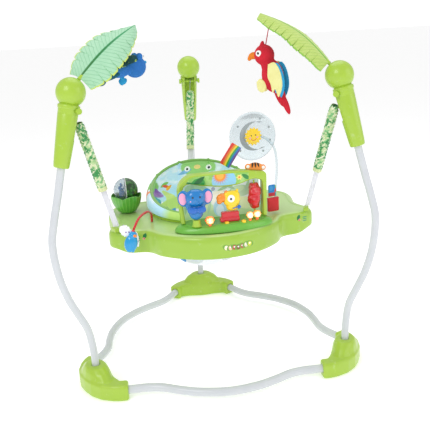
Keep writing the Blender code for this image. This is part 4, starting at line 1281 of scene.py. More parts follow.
# %% Printed cards
def card(name, base, draw, matrix, painted_glow=0.0):
    """A printed card: draw() takes the card's own x and z as a flat vector and returns the layers of ink."""
    material, shader, place = new_material(name)
    x, _, z = in_frame(place, matrix).parts()
    flat = x.beside(z)
    tone = layered(place, base, draw(flat))
    paper = place.noise(700.0, 2.0)
    # The last argument makes the print glow with its own colour: painted light for a card that stands in
    # shade.
    feed(shader, Base_Color=tone, Roughness=0.3 + (paper - 0.5) * 0.1, height=paper, depth=0.00003,
         Coat_Weight=0.4, Coat_Roughness=0.1, Emission_Color=tone, Emission_Strength=painted_glow)
    return material


def brow_picture(flat):
    wave = flat.noise(60.0, 2.0)
    layers = [
        (wave.above(0.52, 0.08) * 0.7, "#B4DD84"),
        (flat.spot((0.004, 0.6060), (0.036, 0.034), 0, 0.05), "#8FD0F0"),
        (flat.spot((-0.074, 0.6040), (0.022, 0.016), 20, 0.1), "#2F9C3A"),
        (flat.leaf((-0.070, 0.6120), (0.022, 0.007), 35), "#156B2C"),
        (flat.leaf((-0.098, 0.6060), (0.016, 0.005), -20), "#1D7A34"),
        (flat.leaf((0.070, 0.6120), (0.015, 0.006), -35), "#2C8A3C"),
    ]
    for a in np.arange(0, 180, 18):
        layers.append((flat.leaf((-0.007, 0.6220), (0.0235, 0.0028), a, 0.2), "#E0402C"))
    layers.append((flat.spot((-0.007, 0.6220), (0.0165, 0.0165)), "#F6922A"))
    layers.append((flat.spot((-0.007, 0.6220), (0.0110, 0.0110)), "#FBB84A"))
    for a in (0, 60, 120):
        layers.append((flat.leaf((0.050, 0.6120), (0.0095, 0.0034), a), "#FFE27A"))
    layers.append((flat.spot((0.050, 0.6120), (0.0030, 0.0030)), "#F08A24"))
    return layers


def jungle_picture(flat):
    haze = flat.noise(30.0, 3.0)
    low = CONSOLE_TOP
    layers = [
        (haze.above(0.52, 0.14) * 0.8, "#D6ECF7"),
        (flat.spot((-0.080, low + 0.020), (0.060, 0.038), 8, 0.08), "#A9D672"),
        (flat.spot((0.070, low + 0.010), (0.080, 0.046), -6, 0.08), "#B7DD86"),
        (flat.spot((0.000, low - 0.006), (0.120, 0.030), 0, 0.08), "#8CC95C"),
        (flat.spot((-0.018, low + 0.062), (0.030, 0.016), 30, 0.1), "#F2F0DC"),
        (flat.spot((0.060, low + 0.074), (0.034, 0.018), 0, 0.12), "#6DB76B"),
        (flat.spot((0.052, low + 0.080), (0.020, 0.010), 12, 0.12), "#91CC84"),
        (flat.spot((-0.070, low + 0.086), (0.040, 0.020), -14, 0.12), "#5FAF5C"),
        (flat.spot((-0.004, low + 0.028), (0.020, 0.026), 0, 0.1), "#6FC3E6"),
        (flat.spot((-0.004, low + 0.020), (0.012, 0.018), 0, 0.1), "#BEE6F6"),
        (flat.spot((0.104, low + 0.060), (0.012, 0.034), -8, 0.1), "#7E5A3A"),
    ]
    for x, z, size, tilt, colour in (
        (-0.094, 0.082, 0.026, 60, "#2F8E45"), (-0.082, 0.088, 0.026, 100, "#3C9C4C"),
        (-0.070, 0.082, 0.024, 140, "#2F8E45"),
        (0.010, 0.088, 0.022, 20, "#4BA85A"), (0.026, 0.092, 0.022, -30, "#3C9C4C"),
        (0.094, 0.080, 0.026, 120, "#2F8E45"),
        (0.082, 0.088, 0.022, 70, "#54B060"), (-0.040, 0.080, 0.020, 10, "#54B060"),
        (-0.036, 0.034, 0.022, 75, "#5DB356"),
        (0.036, 0.036, 0.020, 110, "#6EBE5E"), (0.050, 0.030, 0.020, 60, "#4BA85A"),
        (-0.106, 0.040, 0.024, 80, "#4BA85A"),
    ):
        layers.append((flat.leaf((x, low + z), (size, size * 0.22), tilt), colour))
    layers.append((flat.spot((-0.022, low + 0.088), (0.006, 0.006)), "#5C62A8"))
    layers.append((0.35, "#F2FAFD"))
    return layers


fix(label, "tray", card("brow_print", "#8ECB5C", brow_picture, CONSOLE), "print_sheet")
scene_card = block("jungle_card", CONSOLE, (0.236, 0.0013, 0.108),
                   (0, ARCH_Y + 0.0222, CONSOLE_TOP + 0.0545), 0.0004, 2)
# The jungle card glows at 0.35: painted light that brightens it in the shade inside the arch.
fix(scene_card, "tray", card("jungle_print", "#CDEBF9", jungle_picture, CONSOLE, 0.35), "print_sheet",
    "scenery_panel")

# %% [markdown]
# Three little lamps light up when a button is pressed. Each is a clear orange burst on a short stem over
# a bulb, so its middle glows white and its rim stays orange: the glow falls off with distance from the
# middle. The burst is a ball whose radius ripples as it goes round and as it goes up.


# %% Lamps
def glow(name, at):
    material, shader, place = new_material(name)
    local = place.moved(tuple(put(CONSOLE, at)), (0, 0, TRAY_YAW), (0.0125, 0.0125, 0.0125))
    distance = local.length()
    burst = local.noise(2.6, 2.0)
    tone = layered(place, "#E8401E", [(distance.below(0.90, 0.3), "#FF9A3C"),
                                             ((distance + burst * 0.6).below(0.86, 0.4), "#FFF3DC")])
    feed(shader, Base_Color=tone, Emission_Color=tone, Emission_Strength=1.3, Roughness=0.15, Coat_Weight=0.6)
    return material


LAMPS = {"left": (-0.052, -0.226, 0.0120), "middle": (0.070, -0.2165, 0.0096),
         "right": (0.0925, -0.212, 0.0105)}
for side, (x, y, size) in LAMPS.items():
    at = (x, y, CONSOLE_TOP + 0.0004)
    a = np.linspace(0, 2 * math.pi, 72, endpoint=False)[None]
    height = np.linspace(0, 1, 40)[:, None]
    level = (0.0165 + size) * height
    latitude = np.arcsin(np.clip((level - 0.0165) / size, -1, 1))
    burst = size * np.cos(latitude) * (1 + 0.10 * np.cos(9 * a)) * (1 + 0.10 * np.cos(8 * latitude))
    radius = np.maximum(burst, 0.0035 * (level < 0.0165))
    grid = np.stack([radius * np.cos(a), radius * np.sin(a), level + 0 * a], -1)
    grid = np.concatenate([grid[:1] * (0, 0, 1), grid])
    dome = surface(f"lamp_dome_{side}", put(CONSOLE @ shift(*at), grid), smooth=30)
    fix(dome, "tray", glow(f"lamp_glow_{side}", (x, y - 0.5 * size, CONSOLE_TOP + 0.0170)), "orange_plastic",
        *([f"lamp_{side}"] if side != "middle" else []))


# %% [markdown]
# ## Console animals
#
# The elephant and the bird are moulded in several colours that clip together. Each colour is a few
# rounded forms fused into one skin, and the colours are joined into one piece that nods or turns.

# %% Building toys from coloured forms
def form(matrix, half, at, tilt=(0, 0, 0), boxy=1.0):
    """One rounded form of a toy: its half sizes, its place and its tilt in the toy's frame."""
    local = shift(*at) @ turn("Z", tilt[2]) @ turn("Y", tilt[1]) @ turn("X", tilt[0])
    return ball("form", matrix @ local, half, boxy)


def coloured(name, material, forms, voxel=0.0012, relax=6):
    piece = fused(name, forms, voxel, relax) if len(forms) > 1 else forms[0]
    piece.data.materials.clear()
    piece.data.materials.append(material)
    return piece


def assembled(name, parts, body, slot, *nodes):
    """Several coloured parts as one piece on one body."""
    return fix(joined(name, parts), body, None, slot, *nodes)


E = CONSOLE @ shift(*ELEPHANT, CONSOLE_TOP + 0.0190)
trunk_path = smooth_path([(0, -0.014, 0.062), (0, -0.0190, 0.057), (0, -0.0210, 0.051)], 6)
trunk = swept("form", put(E, trunk_path), 0.0070, 20, E[:3, 0])
elephant_blue = coloured("elephant_blue", BLUE, [
    form(E, (0.0215, 0.016, 0.0240), (0, 0, 0.0238)),
    form(E, (0.0290, 0.0192, 0.0250), (0, -0.002, 0.0660), (0, 0, 0), 0.9),
    form(E, (0.0290, 0.0110, 0.0260), (0, 0.0025, 0.0420)),
    form(E, (0.0180, 0.0050, 0.0240), (-0.0335, 0.0015, 0.0655), (0, -6, 0)),
    form(E, (0.0180, 0.0050, 0.0240), (0.0335, 0.0015, 0.0655), (0, 6, 0)), trunk,
    form(E, (0.0060, 0.0080, 0.0090), (-0.0185, -0.0060, 0.0320), (0, 25, 0)),
    form(E, (0.0060, 0.0080, 0.0090), (0.0185, -0.0060, 0.0320), (0, -25, 0)),
])
ears = [coloured("ear", PINK,
                 [form(E, (0.0110, 0.0034, 0.0175), (way * 0.0370, -0.0022, 0.0650), (0, way * 6, 0))])
        for way in (-1, 1)]
bow = coloured("bow", DEEP_BLUE, [
    form(E, (0.0150, 0.0050, 0.0098), (-0.0120, -0.0155, 0.0320), (0, 8, 0), 0.7),
    form(E, (0.0150, 0.0050, 0.0098), (0.0120, -0.0155, 0.0320), (0, -8, 0), 0.7),
    form(E, (0.0055, 0.0058, 0.0062), (0, -0.0175, 0.0320)),
])
eyes = [coloured("eye", BLACK,
                 [form(E, (0.0026, 0.0016, 0.0030), (way * 0.0105, -0.0203, 0.0710))]) for way in (-1, 1)]
cheek = coloured("cheek", PINK, [form(E, (0.0024, 0.0012, 0.0024), (-0.0165, -0.0172, 0.0600))])
assembled("elephant_toy", [elephant_blue, *ears, bow, *eyes, cheek], "elephant", "blue_plastic", "elephant")

BIRD_AT = (0.012, -0.200)
B = CONSOLE @ shift(*BIRD_AT, CONSOLE_TOP + 0.0306)
perch = block("bird_perch", CONSOLE @ shift(*BIRD_AT, CONSOLE_TOP), (0.058, 0.020, 0.013), (0, 0, 0.0070),
              0.0026, 2)
step = block("step", CONSOLE @ shift(*BIRD_AT, CONSOLE_TOP), (0.052, 0.0175, 0.0170), (0.002, 0.001, 0.0210),
             0.0026, 2)
fix(fused("bird_perch", [perch, step], 0.0010, 4), "tray", RED, "red_plastic", "bird_box")
bird_yellow = coloured("bird_yellow", YELLOW, [
    form(B, (0.0245, 0.0128, 0.0225), (0.0085, 0, 0.0380), (0, 0, 0), 0.6),
    form(B, (0.0190, 0.0118, 0.0150), (0.0100, 0, 0.0160), (0, 0, 0), 0.85),
    form(B, (0.0045, 0.0040, 0.0075), (0.0255, 0, 0.0580), (0, 18, 0)),
])
beak = coloured("beak", ORANGE, [
    form(B, (0.0175, 0.0105, 0.0135), (-0.0195, -0.0008, 0.0420), (0, -8, 0)),
    form(B, (0.0080, 0.0085, 0.0085), (-0.0280, -0.0010, 0.0320), (0, 20, 0)),
    form(B, (0.0060, 0.0060, 0.0075), (-0.0060, 0, 0.0560), (0, -25, 0)),
])
eye = [coloured("white", WHITE, [form(B, (0.0108, 0.0022, 0.0112), (0.0050, -0.0122, 0.0400))]),
       coloured("pupil", BLACK, [form(B, (0.0034, 0.0014, 0.0036), (0.0042, -0.0142, 0.0395))])]
flower = [form(B, (0.0068, 0.0022, 0.0030), (0.0270, -0.0130, 0.0135), (0, a, 0)) for a in (0, 60, 120)]
flower = coloured("flower", DEEP_BLUE,
                  [*flower, form(B, (0.0016, 0.0016, 0.0110), (0.0165, -0.0126, 0.0120), (0, 75, 0))],
                  0.0009, 3)
assembled("bird_toy", [bird_yellow, beak, *eye, flower], "bird", "yellow_plastic", "bird")

# %% [markdown]
# The roller is a soft twisted knob on a rod: three lobes that turn as they climb, with a pinched
# waist. The tiger sits on the arch with only the top of its head showing.

# %% Roller and tiger
ROLLER = CONSOLE @ shift(0.096, ARCH_Y - 0.005, 0)
climb = np.linspace(0, 1, 90)[:, None]
a = np.linspace(0, 2 * math.pi, 96, endpoint=False)[None]
waist = 0.16 * np.exp(-(((climb - 0.52) / 0.07) ** 2))
body = 0.0190 * np.sin(math.pi * (0.10 + 0.80 * climb)) ** 0.5 * (1 - waist)
lobes = 1 + 0.13 * np.cos(3 * (a - 2.6 * climb)) + 0.05 * np.cos(2 * math.pi * 4 * climb + 2 * a)
radius = np.minimum(body * lobes, 0.0222)
grid = np.stack([radius * np.cos(a), radius * np.sin(a), 0.512 + 0.076 * climb + 0 * a], -1)
knob = surface("twisted_roller", put(ROLLER, grid), smooth=60)
fix(rounded(knob, 0.0015, 3, 50), "roller", RED, "red_plastic", "roller")
refinish("roller_peg", LIME)


def tiger_fur():
    material, shader, place = new_material("tiger_orange")
    x, _, z = in_frame(place, CONSOLE @ shift(0.104, ARCH_Y, 0.6275)).parts()
    flat = x.beside(z)
    stripes = [(flat.leaf((at, 0.014), (0.0100, 0.0030), tilt), "#2A1A12")
               for at, tilt in ((-0.0085, 76), (0.0, 90), (0.0085, 104))]
    tone = layered(place, "#F28C28", [(place.noise(40.0, 3.0).above(0.5, 0.4) * 0.4, "#F9A545"), *stripes])
    feed(shader, Base_Color=tone, Roughness=0.32, height=place.noise(900.0, 2.0), depth=0.00006,
         Coat_Weight=0.4)
    return material


T = CONSOLE @ shift(0.104, ARCH_Y + 0.004, 0.6275) @ turn("Y", 7.5)
tiger_skin = tiger_fur()
crown = coloured("crown", tiger_skin, [
    form(T, (0.0275, 0.0058, 0.0195), (0, 0, 0)), form(T, (0.0096, 0.0038, 0.0096), (-0.0228, 0, 0.0052)),
    form(T, (0.0096, 0.0038, 0.0096), (0.0228, 0, 0.0052)),
])
cut(crown, block("cutter", T, (0.1, 0.05, 0.05), (0, 0, -0.0270), 0))
ear_whites = [coloured("ear_white", WHITE,
                       [form(T, (0.0052, 0.0012, 0.0052), (way * 0.0235, -0.0035, 0.0060))]) for way in (-1,
                                                                                                         1)]
assembled("tiger_peeping", [crown, *ear_whites], "tray", "orange_plastic", "tiger_head")

# %% [markdown]
# ## Toys round the tray
#
# A clear disc with a sun turns on a bent clear stand, a rainbow strip leans beside it, a cloth book
# hangs at the right, a clear ball with a frog in it spins in a leaf dish, and a beetle bobs on a springy
# stalk. Clear parts are real shells, because light bends at both faces.


# %% Clear plastic
def clear_plastic(name, tint, cloudy=0.06):
    material, shader, place = new_material(name)
    haze = place.noise(30.0, 3.0)
    tone = layered(place, tint, [(haze.above(0.5, 0.4) * 0.3, "#F4F8FA")])
    feed(shader, Base_Color=tone, Roughness=cloudy + haze * 0.04, Transmission_Weight=0.92, IOR=1.28,
         Coat_Weight=0.3, Coat_Roughness=0.03)
    return material


CLEAR = clear_plastic("clear_plastic", "#DDE8EC")
GREY_INK = moulded("grey_ink", "#98A2A8", "#AEB7BB", 0.35)

# %% Spinner
SPIN = TRAY @ shift(0.146, -0.045, 0.703) @ turn("Z", 6) @ turn("Y", -4)
FACE = SPIN @ turn("X", -90)
disc = turned("spinner_clear_disc", [
    (0.0042, -0.0012), (0.0660, -0.0012), (0.0690, -0.0028), (0.0740, -0.0030), (0.0756, -0.0022),
    (0.0760, 0.0),
    (0.0756, 0.0022), (0.0740, 0.0030), (0.0690, 0.0028), (0.0660, 0.0012), (0.0042, 0.0012),
    (0.0042, -0.0012),
], FACE, 120)
fix(disc, "spinner", CLEAR, "clear_plastic", "spinner_disc")
moon_line = np.concatenate([arc((0.002, 0), 0.045, 60, 300, 40), arc((0.018, 0), 0.043, 294, 66, 40)])
moon = plate("moon_print", moon_line, 0.0006, 0.0001, SPIN @ shift(0, -0.0018, 0))
moon.data.materials.append(GREY_INK)
dots = [turned("dot", [(0, 0.0004), (0.0036, 0.0004), (0.0036, -0.0004), (0, -0.0004)],
               SPIN @ shift(0.059 * math.cos(a), -0.0018, 0.059 * math.sin(a)) @ turn("X", -90), 24)
        for a in np.radians((-60, -20, 20, 60, 140, 220))]
for dot in dots:
    dot.data.materials.append(GREY_INK)
fix(joined("disc_prints", [moon, *dots]), "spinner", None, "print_sheet")
a = np.linspace(0, 2 * math.pi, 144, endpoint=False)[None]
share = np.array([0, 0, 0.5, 0.92, 1, 1, 0.9, 0.6, 0.3, 0.0])[:, None]
level = -np.array([0.0034, 0.0034, 0.0034, 0.0034, 0.0042, 0.0062, 0.0078, 0.0086, 0.0090, 0.0091])[:, None]
radius = share * (0.0235 + 0.0062 * (1 - np.abs(np.sin(7 * a))))
sun = surface("sun", put(SPIN, np.stack([radius * np.cos(a), level + 0 * a, radius * np.sin(a)], -1)[1:]))
sun.data.materials.append(YELLOW)
smile_path = np.insert(arc((0, -0.001), 0.0105, 215, 325, 14), 1, -0.0090, 1)
smile = swept("smile", put(SPIN, smile_path), 0.0007, 8, SPIN[:3, 1])
face = [smile, form(SPIN, (0.0016, 0.0009, 0.0024), (-0.0070, -0.0090, 0.0040)),
        form(SPIN, (0.0016, 0.0009, 0.0024), (0.0070, -0.0090, 0.0040))]
face += [form(SPIN, (0.0034, 0.0009, 0.0026), (way * 0.0120, -0.0088, -0.0035)) for way in (-1, 1)]
for feature, colour in zip(face, (RED, BLACK, BLACK, PINK, PINK)):
    feature.data.materials.append(colour)
hub = turned("axle", [(0, 0.0070), (0.0036, 0.0070), (0.0036, -0.0090), (0, -0.0090)], FACE, 32)
hub.data.materials.append(YELLOW)
fix(joined("sun_with_face", [sun, *face, hub]), "spinner", None, "yellow_plastic", "sun_face")
stand_path = [(0.205, -0.062, 0.4705), (0.210, -0.056, 0.520), (0.224, -0.036, 0.600), (0.219, -0.024, 0.660),
              (0.188, -0.024, 0.693), (0.146, -0.0335, 0.703)]
stand = swept("clear_spinner_arm", put(TRAY, smooth_path(stand_path, 12)), 0.0042, 24, TRAY[:3, 1])
fix(stand, "tray", CLEAR, "clear_plastic", "spinner_stand")


# %% Rainbow strip
def rainbow_print():
    material, shader, place = new_material("rainbow_print")
    x, _, z = in_frame(place, TRAY @ shift(0.062, -0.096, 0.660)).moved(angles=(0, 35, 0)).parts()
    bend = z * z * 3.0 - x
    tone = layered(place, "#7A4FA8", [
        (bend.above(-0.0110, 0.0008), "#2E86D0"), (bend.above(-0.0054, 0.0008), "#3DAE4E"),
        (bend.above(0.0002, 0.0008), "#F7D83A"), (bend.above(0.0058, 0.0008), "#F28A2E"),
        (bend.above(0.0114, 0.0008), "#E2382E"),
    ])
    feed(shader, Base_Color=tone, Roughness=0.3 + (place.noise(60.0, 4.0) - 0.5) * 0.1, Coat_Weight=0.4,
         height=place.noise(800.0, 2.0), depth=0.00004)
    return material


STRIP = TRAY @ shift(0.062, -0.096, 0.660) @ turn("Y", 35)
strip_line = np.concatenate([arc((way[0] * 0.0140, way[1] * 0.0330), 0.0030, a, a + 90, 6) for way, a in (
    ((1, 1), 0), ((-1, 1), 90), ((-1, -1), 180), ((1, -1), 270))])
strip = plate("rainbow_strip", strip_line, 0.0030, 0.0008, STRIP)
fix(strip, "tray", rainbow_print(), "print_sheet", "rainbow_panel")

# %% [markdown]
# The cloth book is a red stuffed pouch with a stiff blue page that swings out of it.

# %% Book
BOOK = TRAY @ shift(0.190, -0.092, TRAY_TOP) @ turn("Z", 12)


def toy_cloth(name, colour, shade, pitch=0.0012, depth=0.0004):
    """Plain woven toy cloth: threads from crossed sines on the object's own coordinates."""
    material, shader, place = new_material(name)
    x, y, z = place.parts()
    turns = 2 * math.pi / pitch
    weave = ((x + y) * turns).sine() * (z * turns).sine() * 0.5 + 0.5
    fold = place.noise(38.0, 3.0)
    tone = layered(place, colour, [(weave * 0.35, shade), (fold.below(0.42, 0.2) * 0.35, shade)])
    feed(shader, Base_Color=tone, Roughness=0.8, height=weave * 0.4 + fold * 1.2, depth=depth,
         Sheen_Weight=0.3)
    return material


RED_CLOTH = toy_cloth("red_cloth", "#E8303A", "#C81E2A")
pouch = fused("cloth_pouch", [
    block("pouch", BOOK, (0.0390, 0.0100, 0.0430), (0.002, 0, 0.0260), 0.0048, 3),
    form(BOOK, (0.0190, 0.0060, 0.0200), (0.002, 0, 0.0240), (0, 0, 0), 0.6),
    block("flap", BOOK, (0.0390, 0.0112, 0.0040), (0.002, 0, 0.0470), 0.0016, 2),
], 0.0011, 6)
fix(pouch, "tray", RED_CLOTH, "red_cloth", "book_pouch")


def page_print():
    material, shader, place = new_material("page_print")
    x, _, z = in_frame(place, BOOK @ shift(0, 0, 0.0520)).parts()
    flat = x.beside(z)
    tone = layered(place, "#1C86D6", [
        (z.below(0.0130, 0.0006), "#C81E2C"), (x.above(0.0090, 0.0006), "#2FA5A8"),
        (flat.leaf((0.0110, 0.0200), (0.0110, 0.0032), 70), "#D8342B"),
        (flat.leaf((0.0120, 0.0310), (0.0070, 0.0026), 110), "#6DB848"),
        (flat.spot((-0.0040, 0.0270), (0.0062, 0.0080)), "#3C9FE6"),
    ])
    weave = place.noise(600.0, 2.0)
    feed(shader, Base_Color=tone, Roughness=0.55 + (weave - 0.5) * 0.1, height=weave, depth=0.0001,
         Sheen_Weight=0.1)
    return material


PAGE = BOOK @ shift(-0.014, 0, 0.0520)
page_line = np.concatenate([
    [(0.0008, 0.0010), (0.0274, 0.0010)], arc((0.0192, 0.0300), 0.0082, 0, 85, 10),
    arc((0.0066, 0.0325), 0.0058, 95, 180, 8),
])
page = plate("swing_page", page_line, 0.0038, 0.0012, PAGE)
fix(page, "book_page", page_print(), "blue_cloth", "book_page")

# %% [markdown]
# The ball is two half shells: a green back and a clear front with a beaded white rim, and a little
# frog sits between them.

# %% Ball in its leaf dish
BALL = TRAY @ shift(-0.249, 0.097, 0.5380)
BALL_TOY_R = 0.0395
a = np.linspace(0, 2 * math.pi, 120, endpoint=False)[None]
DISH_OUT = np.array([(0.0, 0.0003), (0.0200, 0.0003), (0.0280, 0.0035), (0.0360, 0.0140), (0.0430, 0.0270),
                     (0.0480, 0.0430), (0.0497, 0.0560), (0.0490, 0.0592)])
DISH_IN = np.array([(0.0478, 0.0598), (0.0466, 0.0580), (0.0452, 0.0470), (0.0425, 0.0340), (0.0300, 0.0200),
                    (0.0150, 0.0140), (0.0, 0.0130)])
dish_line = np.concatenate([smooth_path(DISH_OUT, 6), smooth_path(DISH_IN, 6)])
r, z = dish_line[:, :1], dish_line[:, 1:]
lobes = np.abs(np.cos(2.5 * a)) ** 0.8
high = np.clip(z / 0.060, 0, 1)
rim = 1 - (0.13 * (1 - lobes)) * high**2
grid = np.stack([r * np.cos(a), r * np.sin(a), z * rim + 0 * a], -1)
dish = surface("leaf_dish", put(TRAY @ shift(-0.249, 0.097, TRAY_TOP), grid))


def dish_green():
    material, shader, place = new_material("leaf_dish_green")
    x, y, _ = in_frame(place, TRAY @ shift(-0.249, 0.097, TRAY_TOP)).parts()
    around = y.math("ARCTAN2", x)
    veins = (around * 25).sine() * 0.5 + 0.5
    tone = layered(place, "#55A936", [(place.noise(30.0, 3.0).above(0.5, 0.4) * 0.5, "#6CBB48"),
                                             (veins.above(0.86, 0.1) * 0.5, "#8ACB5E")])
    feed(shader, Base_Color=tone, Roughness=0.34 + veins * 0.05, height=veins + place.noise(700.0, 2.0) * 0.2,
         depth=0.0006, Coat_Weight=0.25)
    return material


fix(dish, "tray", dish_green(), "green_plastic", "ball_dish")
CHEEK = BALL @ turn("Y", 90)
lat = np.radians(np.linspace(90, 0, 30))
back_line = np.concatenate([BALL_TOY_R * np.column_stack([np.cos(lat), np.sin(lat)]),
                            [(0.0380, 0.0004), (0.0, 0.0004)]])
back_half = turned("ball_green_back", back_line, CHEEK, 72)


def back_picture():
    material, shader, place = new_material("ball_back_print")
    leaves = place.moved(size=(0.010, 0.010, 0.010)).cells()
    tone = layered(place, "#2C6A26",
                   [(leaves.above(0.55, 0.1), "#17401C"), (leaves.below(0.25, 0.1), "#4E9A3C")])
    feed(shader, Base_Color=tone, Roughness=0.3 + leaves * 0.1, height=leaves, depth=0.0002, Coat_Weight=0.3)
    return material


fix(back_half, "ball", back_picture(), "green_plastic", "ball_back")
lat = np.radians(np.linspace(0, 90, 30))
shell_line = np.concatenate([
    BALL_TOY_R * np.column_stack([np.cos(lat), -np.sin(lat)]),
    (BALL_TOY_R - 0.0016) * np.column_stack([np.cos(lat[::-1]), -np.sin(lat[::-1])]),
    [(BALL_TOY_R, 0.0)],
])
window = turned("ball_clear_front", shell_line, CHEEK, 72)
fix(window, "ball", CLEAR, "clear_plastic", "ball_window")
rim_ring = turned("ball_rim", arc((0.0386, -0.0006), 0.0013, 0, 360, 13), CHEEK, 96)
rim_ring.data.materials.append(WHITE)
beads = []
for a in np.radians(np.arange(0, 360, 20)):
    bead = form(CHEEK, (0.0012, 0.0026, 0.0012), (0.0386 * math.cos(a), 0.0386 * math.sin(a), -0.0010),
                (0, 0, math.degrees(a)))
    bead.data.materials.append(BLACK)
    beads.append(bead)
fix(joined("ball_rim", [rim_ring, *beads]), "ball", None, "clear_plastic")
little = coloured("little", BLUE, [
    form(BALL, (0.0100, 0.0135, 0.0130), (-0.0135, 0, -0.0090)),
    form(BALL, (0.0095, 0.0125, 0.0095), (-0.0145, 0, 0.0080)),
    form(BALL, (0.0050, 0.0048, 0.0060), (-0.0140, -0.0080, 0.0170)),
    form(BALL, (0.0050, 0.0048, 0.0060), (-0.0140, 0.0080, 0.0170)),
    form(BALL, (0.0045, 0.0040, 0.0090), (-0.0180, -0.0120, -0.0120)),
    form(BALL, (0.0045, 0.0040, 0.0090), (-0.0180, 0.0120, -0.0120)),
])
spots = [coloured("spot", WHITE,
                  [form(BALL, (0.0020, 0.0024, 0.0026), (-0.0180, way * 0.0082, 0.0180))]) for way in (-1, 1)]
assembled("frog_in_ball", [little, *spots], "ball", "aqua_plastic", "ball_frog")

# %% [markdown]
# The stalk is a springy rod in a soft sleeve, thick at its root. The beetle's shell is glossy, and its
# wings are thin white leaves of plastic with purple dots.

# %% Stalk and beetle
STALK = TRAY @ shift(-0.186, -0.048, TRAY_TOP + 0.0006)
stalk_path = smooth_path([(0, 0, 0.0002), (0, 0, 0.008), (-0.002, -0.008, 0.028), (-0.016, -0.040, 0.044),
                          (-0.045, -0.082, 0.040), (-0.066, -0.116, 0.018)], 12)
share = np.linspace(0, 1, len(stalk_path))
girth = 0.0040 + 0.0002 * np.exp(-((share / 0.10) ** 2)) - 0.0004 * share + 0.00012 * np.sin(share * 420)
stalk = swept("springy_stalk", put(STALK, stalk_path), girth, 20, STALK[:3, 0] - STALK[:3, 1])
fix(stalk, "stalk", RED, "red_plastic", "stalk")
BUG = STALK @ shift(-0.0672, -0.1182, 0.0148) @ turn("Y", 13)
bug = coloured("bug", AQUA, [
    form(BUG, (0.0196, 0.0148, 0.0275), (-0.0015, 0, -0.0400)),
    form(BUG, (0.0120, 0.0120, 0.0110), (0.0, -0.001, -0.0130)),
    form(BUG, (0.0040, 0.0040, 0.0060), (0.0075, -0.0060, -0.0600)),
    form(BUG, (0.0040, 0.0040, 0.0060), (-0.0075, -0.0060, -0.0600)),
], 0.0012, 8)
patch = coloured("patch", ORANGE,
                 [form(BUG, (0.0060, 0.0030, 0.0048), (0.0050, -0.0112, -0.0130), (20, 0, 0))])
knob = coloured("knob", RED, [form(BUG, (0.0050, 0.0050, 0.0060), (0, 0, -0.0030))])


def wing_print():
    material, shader, place = new_material("dotted_wing")
    dots = place.cells(120.0)
    tone = layered(place, "#FAFAFC", [(dots.below(0.26, 0.06), "#7A5CA6")])
    feed(shader, Base_Color=tone, Roughness=0.35 + dots * 0.1, height=place.noise(700.0, 2.0), depth=0.0001)
    return material


WING = wing_print()
wings = []
for way, reach, fall in ((-1, 0.036, -0.008), (1, 0.020, 0.034)):
    s = np.linspace(0, 1, 30)[:, None]
    t = np.linspace(0, 2 * math.pi, 40, endpoint=False)[None]
    wide = 0.0170 * np.sin(math.pi * (0.04 + 0.92 * s)) ** 0.6 * (1 + 0.10 * np.sin(9 * math.pi * s))
    grid = np.stack([
        way * (0.004 + reach * s) + 0 * t,
        0.0050 + 0.0014 * np.sin(t) * np.sin(math.pi * (0.04 + 0.92 * s)) ** 0.5 + 0.004 * s**2,
        -0.0100 + wide * np.cos(t) - fall * s,
    ], -1)
    wing = surface("wing", put(BUG, grid), smooth=60)
    wing.data.materials.append(WING)
    wings.append(wing)
assembled("beetle_toy", [bug, patch, knob, *wings], "stalk", "aqua_plastic", "beetle")

# %% [markdown]
# ## Palm leaves
#
# A leaf is two layers of cloth sewn together round a wire. It is a grid across and along: its half
# width follows a sine, notches part its edge into leaflets, and the ribs between leaflets are raised. The
# two faces have different cloths, so the thickness is added with a second material for the lower face.

# %% Leaf cloths
ROOT = (0.398, 0.9245)
TIPS = {"left": (0.212, 1.053), "right": (0.200, 1.066)}
ROLLS = {"left": -42, "right": 8}
LEAFLETS = {"left": 9, "right": 11}


def leaf_cloth(name, body, vein, edge, shade):
    """Cloth of a leaf. Its map runs 0 to 1 across and along, so the midrib is where u is one half."""
    material, shader, place = new_material(name)
    u, v, _ = cloth_map(place).parts()
    side = (u - 0.5).math("ABSOLUTE")
    ribs = ((v - side * 0.34) * (2 * math.pi * 20)).sine() * 0.5 + 0.5
    rib_line = ribs.above(0.93, 0.06)
    cloud = place.noise(24.0, 3.0)
    weave = place.noise(1100.0, 1.0)
    tone = layered(place, body, [
        (cloud.above(0.5, 0.4) * 0.45, shade), (rib_line * 0.35, vein), (side.below(0.030, 0.012), vein),
        (side.above(0.470, 0.01), edge),
    ])
    feed(shader, Base_Color=tone, Roughness=0.75 + weave * 0.08, height=ribs * 0.8 + weave * 0.3,
         depth=0.0006,
         Sheen_Weight=0.2)
    return material


LEAF_LOOKS = {
    "left": (leaf_cloth("yellow_leaf_cloth", "#D8E878", "#9CC84A", "#EEF08F", "#E6F08C"),
             leaf_cloth("mint_cloth", "#A5D6B2", "#3F9C66", "#C9DD6A", "#B9E2C2")),
    "right": (leaf_cloth("teal_leaf_cloth", "#7FC6A0", "#2F9C86", "#3FAE96", "#96D0AC"),
              leaf_cloth("lime_leaf_cloth", "#B9D36A", "#7FB23E", "#8FC24A", "#CBDD88")),
}


